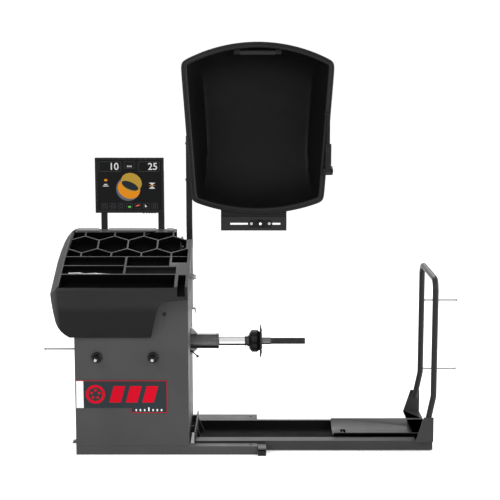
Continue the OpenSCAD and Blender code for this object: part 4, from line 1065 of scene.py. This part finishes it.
def hoop():
    """The hoop bent from one tube, and the two rods welded to it."""
    low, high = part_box("hoop_rail")
    radius = 16 * MM
    near, far, top = low.y + radius + 1.5 * MM, high.y - radius - 1.5 * MM, high.z - radius
    x = high.x - radius - 1.5 * MM
    knee, lean, foot = 0.300, math.radians(11.3), 0.152
    toe_x, toe_z = x - foot * math.sin(lean), knee - foot * math.cos(lean)
    corners = [Vector(c) for c in ((toe_x, near, toe_z), (x, near, knee), (x, near, top), (x, far, top),
                                   (x, far, knee), (toe_x, far, toe_z))]
    points = [corners[0]]
    points += rounded_path(corners[:3], 0.09)[1:-1]
    points += rounded_path(corners[1:4], 0.06)[1:-1]
    points += rounded_path(corners[2:5], 0.06)[1:-1]
    points += rounded_path(corners[3:], 0.09)[1:]
    bm = bmesh.new()
    tube(bm, points, radius, 36)
    stand_in("hoop_tube", bm, TUBE, "hoop_rail")
    low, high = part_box("hoop_hangers")
    rods = bmesh.new()
    for z in (0.320, 0.715):
        centre = (0, (low.y + high.y) / 2, z)
        hanger_rod(rods, "X", x + 15.5 * MM, high.x, 4.9 * MM, centre)
        lathe(rods, [(x + 15 * MM, 8 * MM), (x + 18 * MM, 7 * MM), (x + 20 * MM, 5 * MM)], centre, "X", 28)
    stand_in("hoop_hanger_rods", rods, ROD, "hoop_hangers")


def pedal():
    rounded_copy("pedal_box", SATIN, 1.2 * MM, 2)
    rounded_copy("foot_pedal", POWDER, 1.2 * MM, 2)


# ---- camera, light and floor ----
def stage():
    scene = bpy.context.scene
    data = bpy.data.cameras.new("camera")
    data.lens = 91.44
    data.sensor_width = 36.0
    camera = bpy.data.objects.new("camera", data)
    camera.location = (0.616, -6.74, 2.05)
    camera.rotation_euler = (math.radians(90 - 8.5), 0, 0)
    scene.collection.objects.link(camera)
    scene.camera = camera
    scene.view_settings.view_transform = "Standard"
    world = bpy.data.worlds.new("studio")
    world.use_nodes = True
    world.node_tree.nodes["Background"].inputs["Color"].default_value = (1, 1, 1, 1)
    world.node_tree.nodes["Background"].inputs["Strength"].default_value = 1.02
    scene.world = world
    lamps = (("key", (-2.6, -4.2, 4.6), 3.0, 180), ("fill", (4.2, -3.6, 2.8), 2.6, 80),
             ("side", (5.6, 0.2, 1.8), 2.2, 170), ("back", (0.8, 4.4, 4.2), 3.4, 150))
    target = Vector((0.6, 0.0, 0.9))
    for name, place, size, power in lamps:
        lamp = bpy.data.lights.new(name, "AREA")
        lamp.size = size
        lamp.energy = power
        holder = bpy.data.objects.new(name, lamp)
        holder.location = place
        holder.rotation_euler = (target - Vector(place)).to_track_quat("-Z", "Y").to_euler()
        scene.collection.objects.link(holder)
    floor()


def floor():
    finish = Finish("floor_pale", "zinc")
    tone = finish.mix(finish.spread(finish.noise(1.5, 3.0), 0, 1), grey(0.80), grey(0.84))
    finish.feed(finish.shader.inputs["Base Color"], tone)
    finish.feed(finish.shader.inputs["Emission Color"], tone)
    finish.shader.inputs["Emission Strength"].default_value = 0.30
    finish.shader.inputs["Roughness"].default_value = 0.7
    mesh = bpy.data.meshes.new("floor")
    reach = 60.0
    mesh.from_pydata([(-reach, -reach, 0), (reach, -reach, 0), (reach, reach, 0), (-reach, reach, 0)], [],
                     [(0, 1, 2, 3)])
    mesh.materials.append(finish.material)
    obj = bpy.data.objects.new("floor", mesh)
    bpy.context.scene.collection.objects.link(obj)


stage()
for build in (cabinet, hood, pegs, badge, monitor, spindle, lever, gauge, guard, lift, trolley, pedal):
    build()
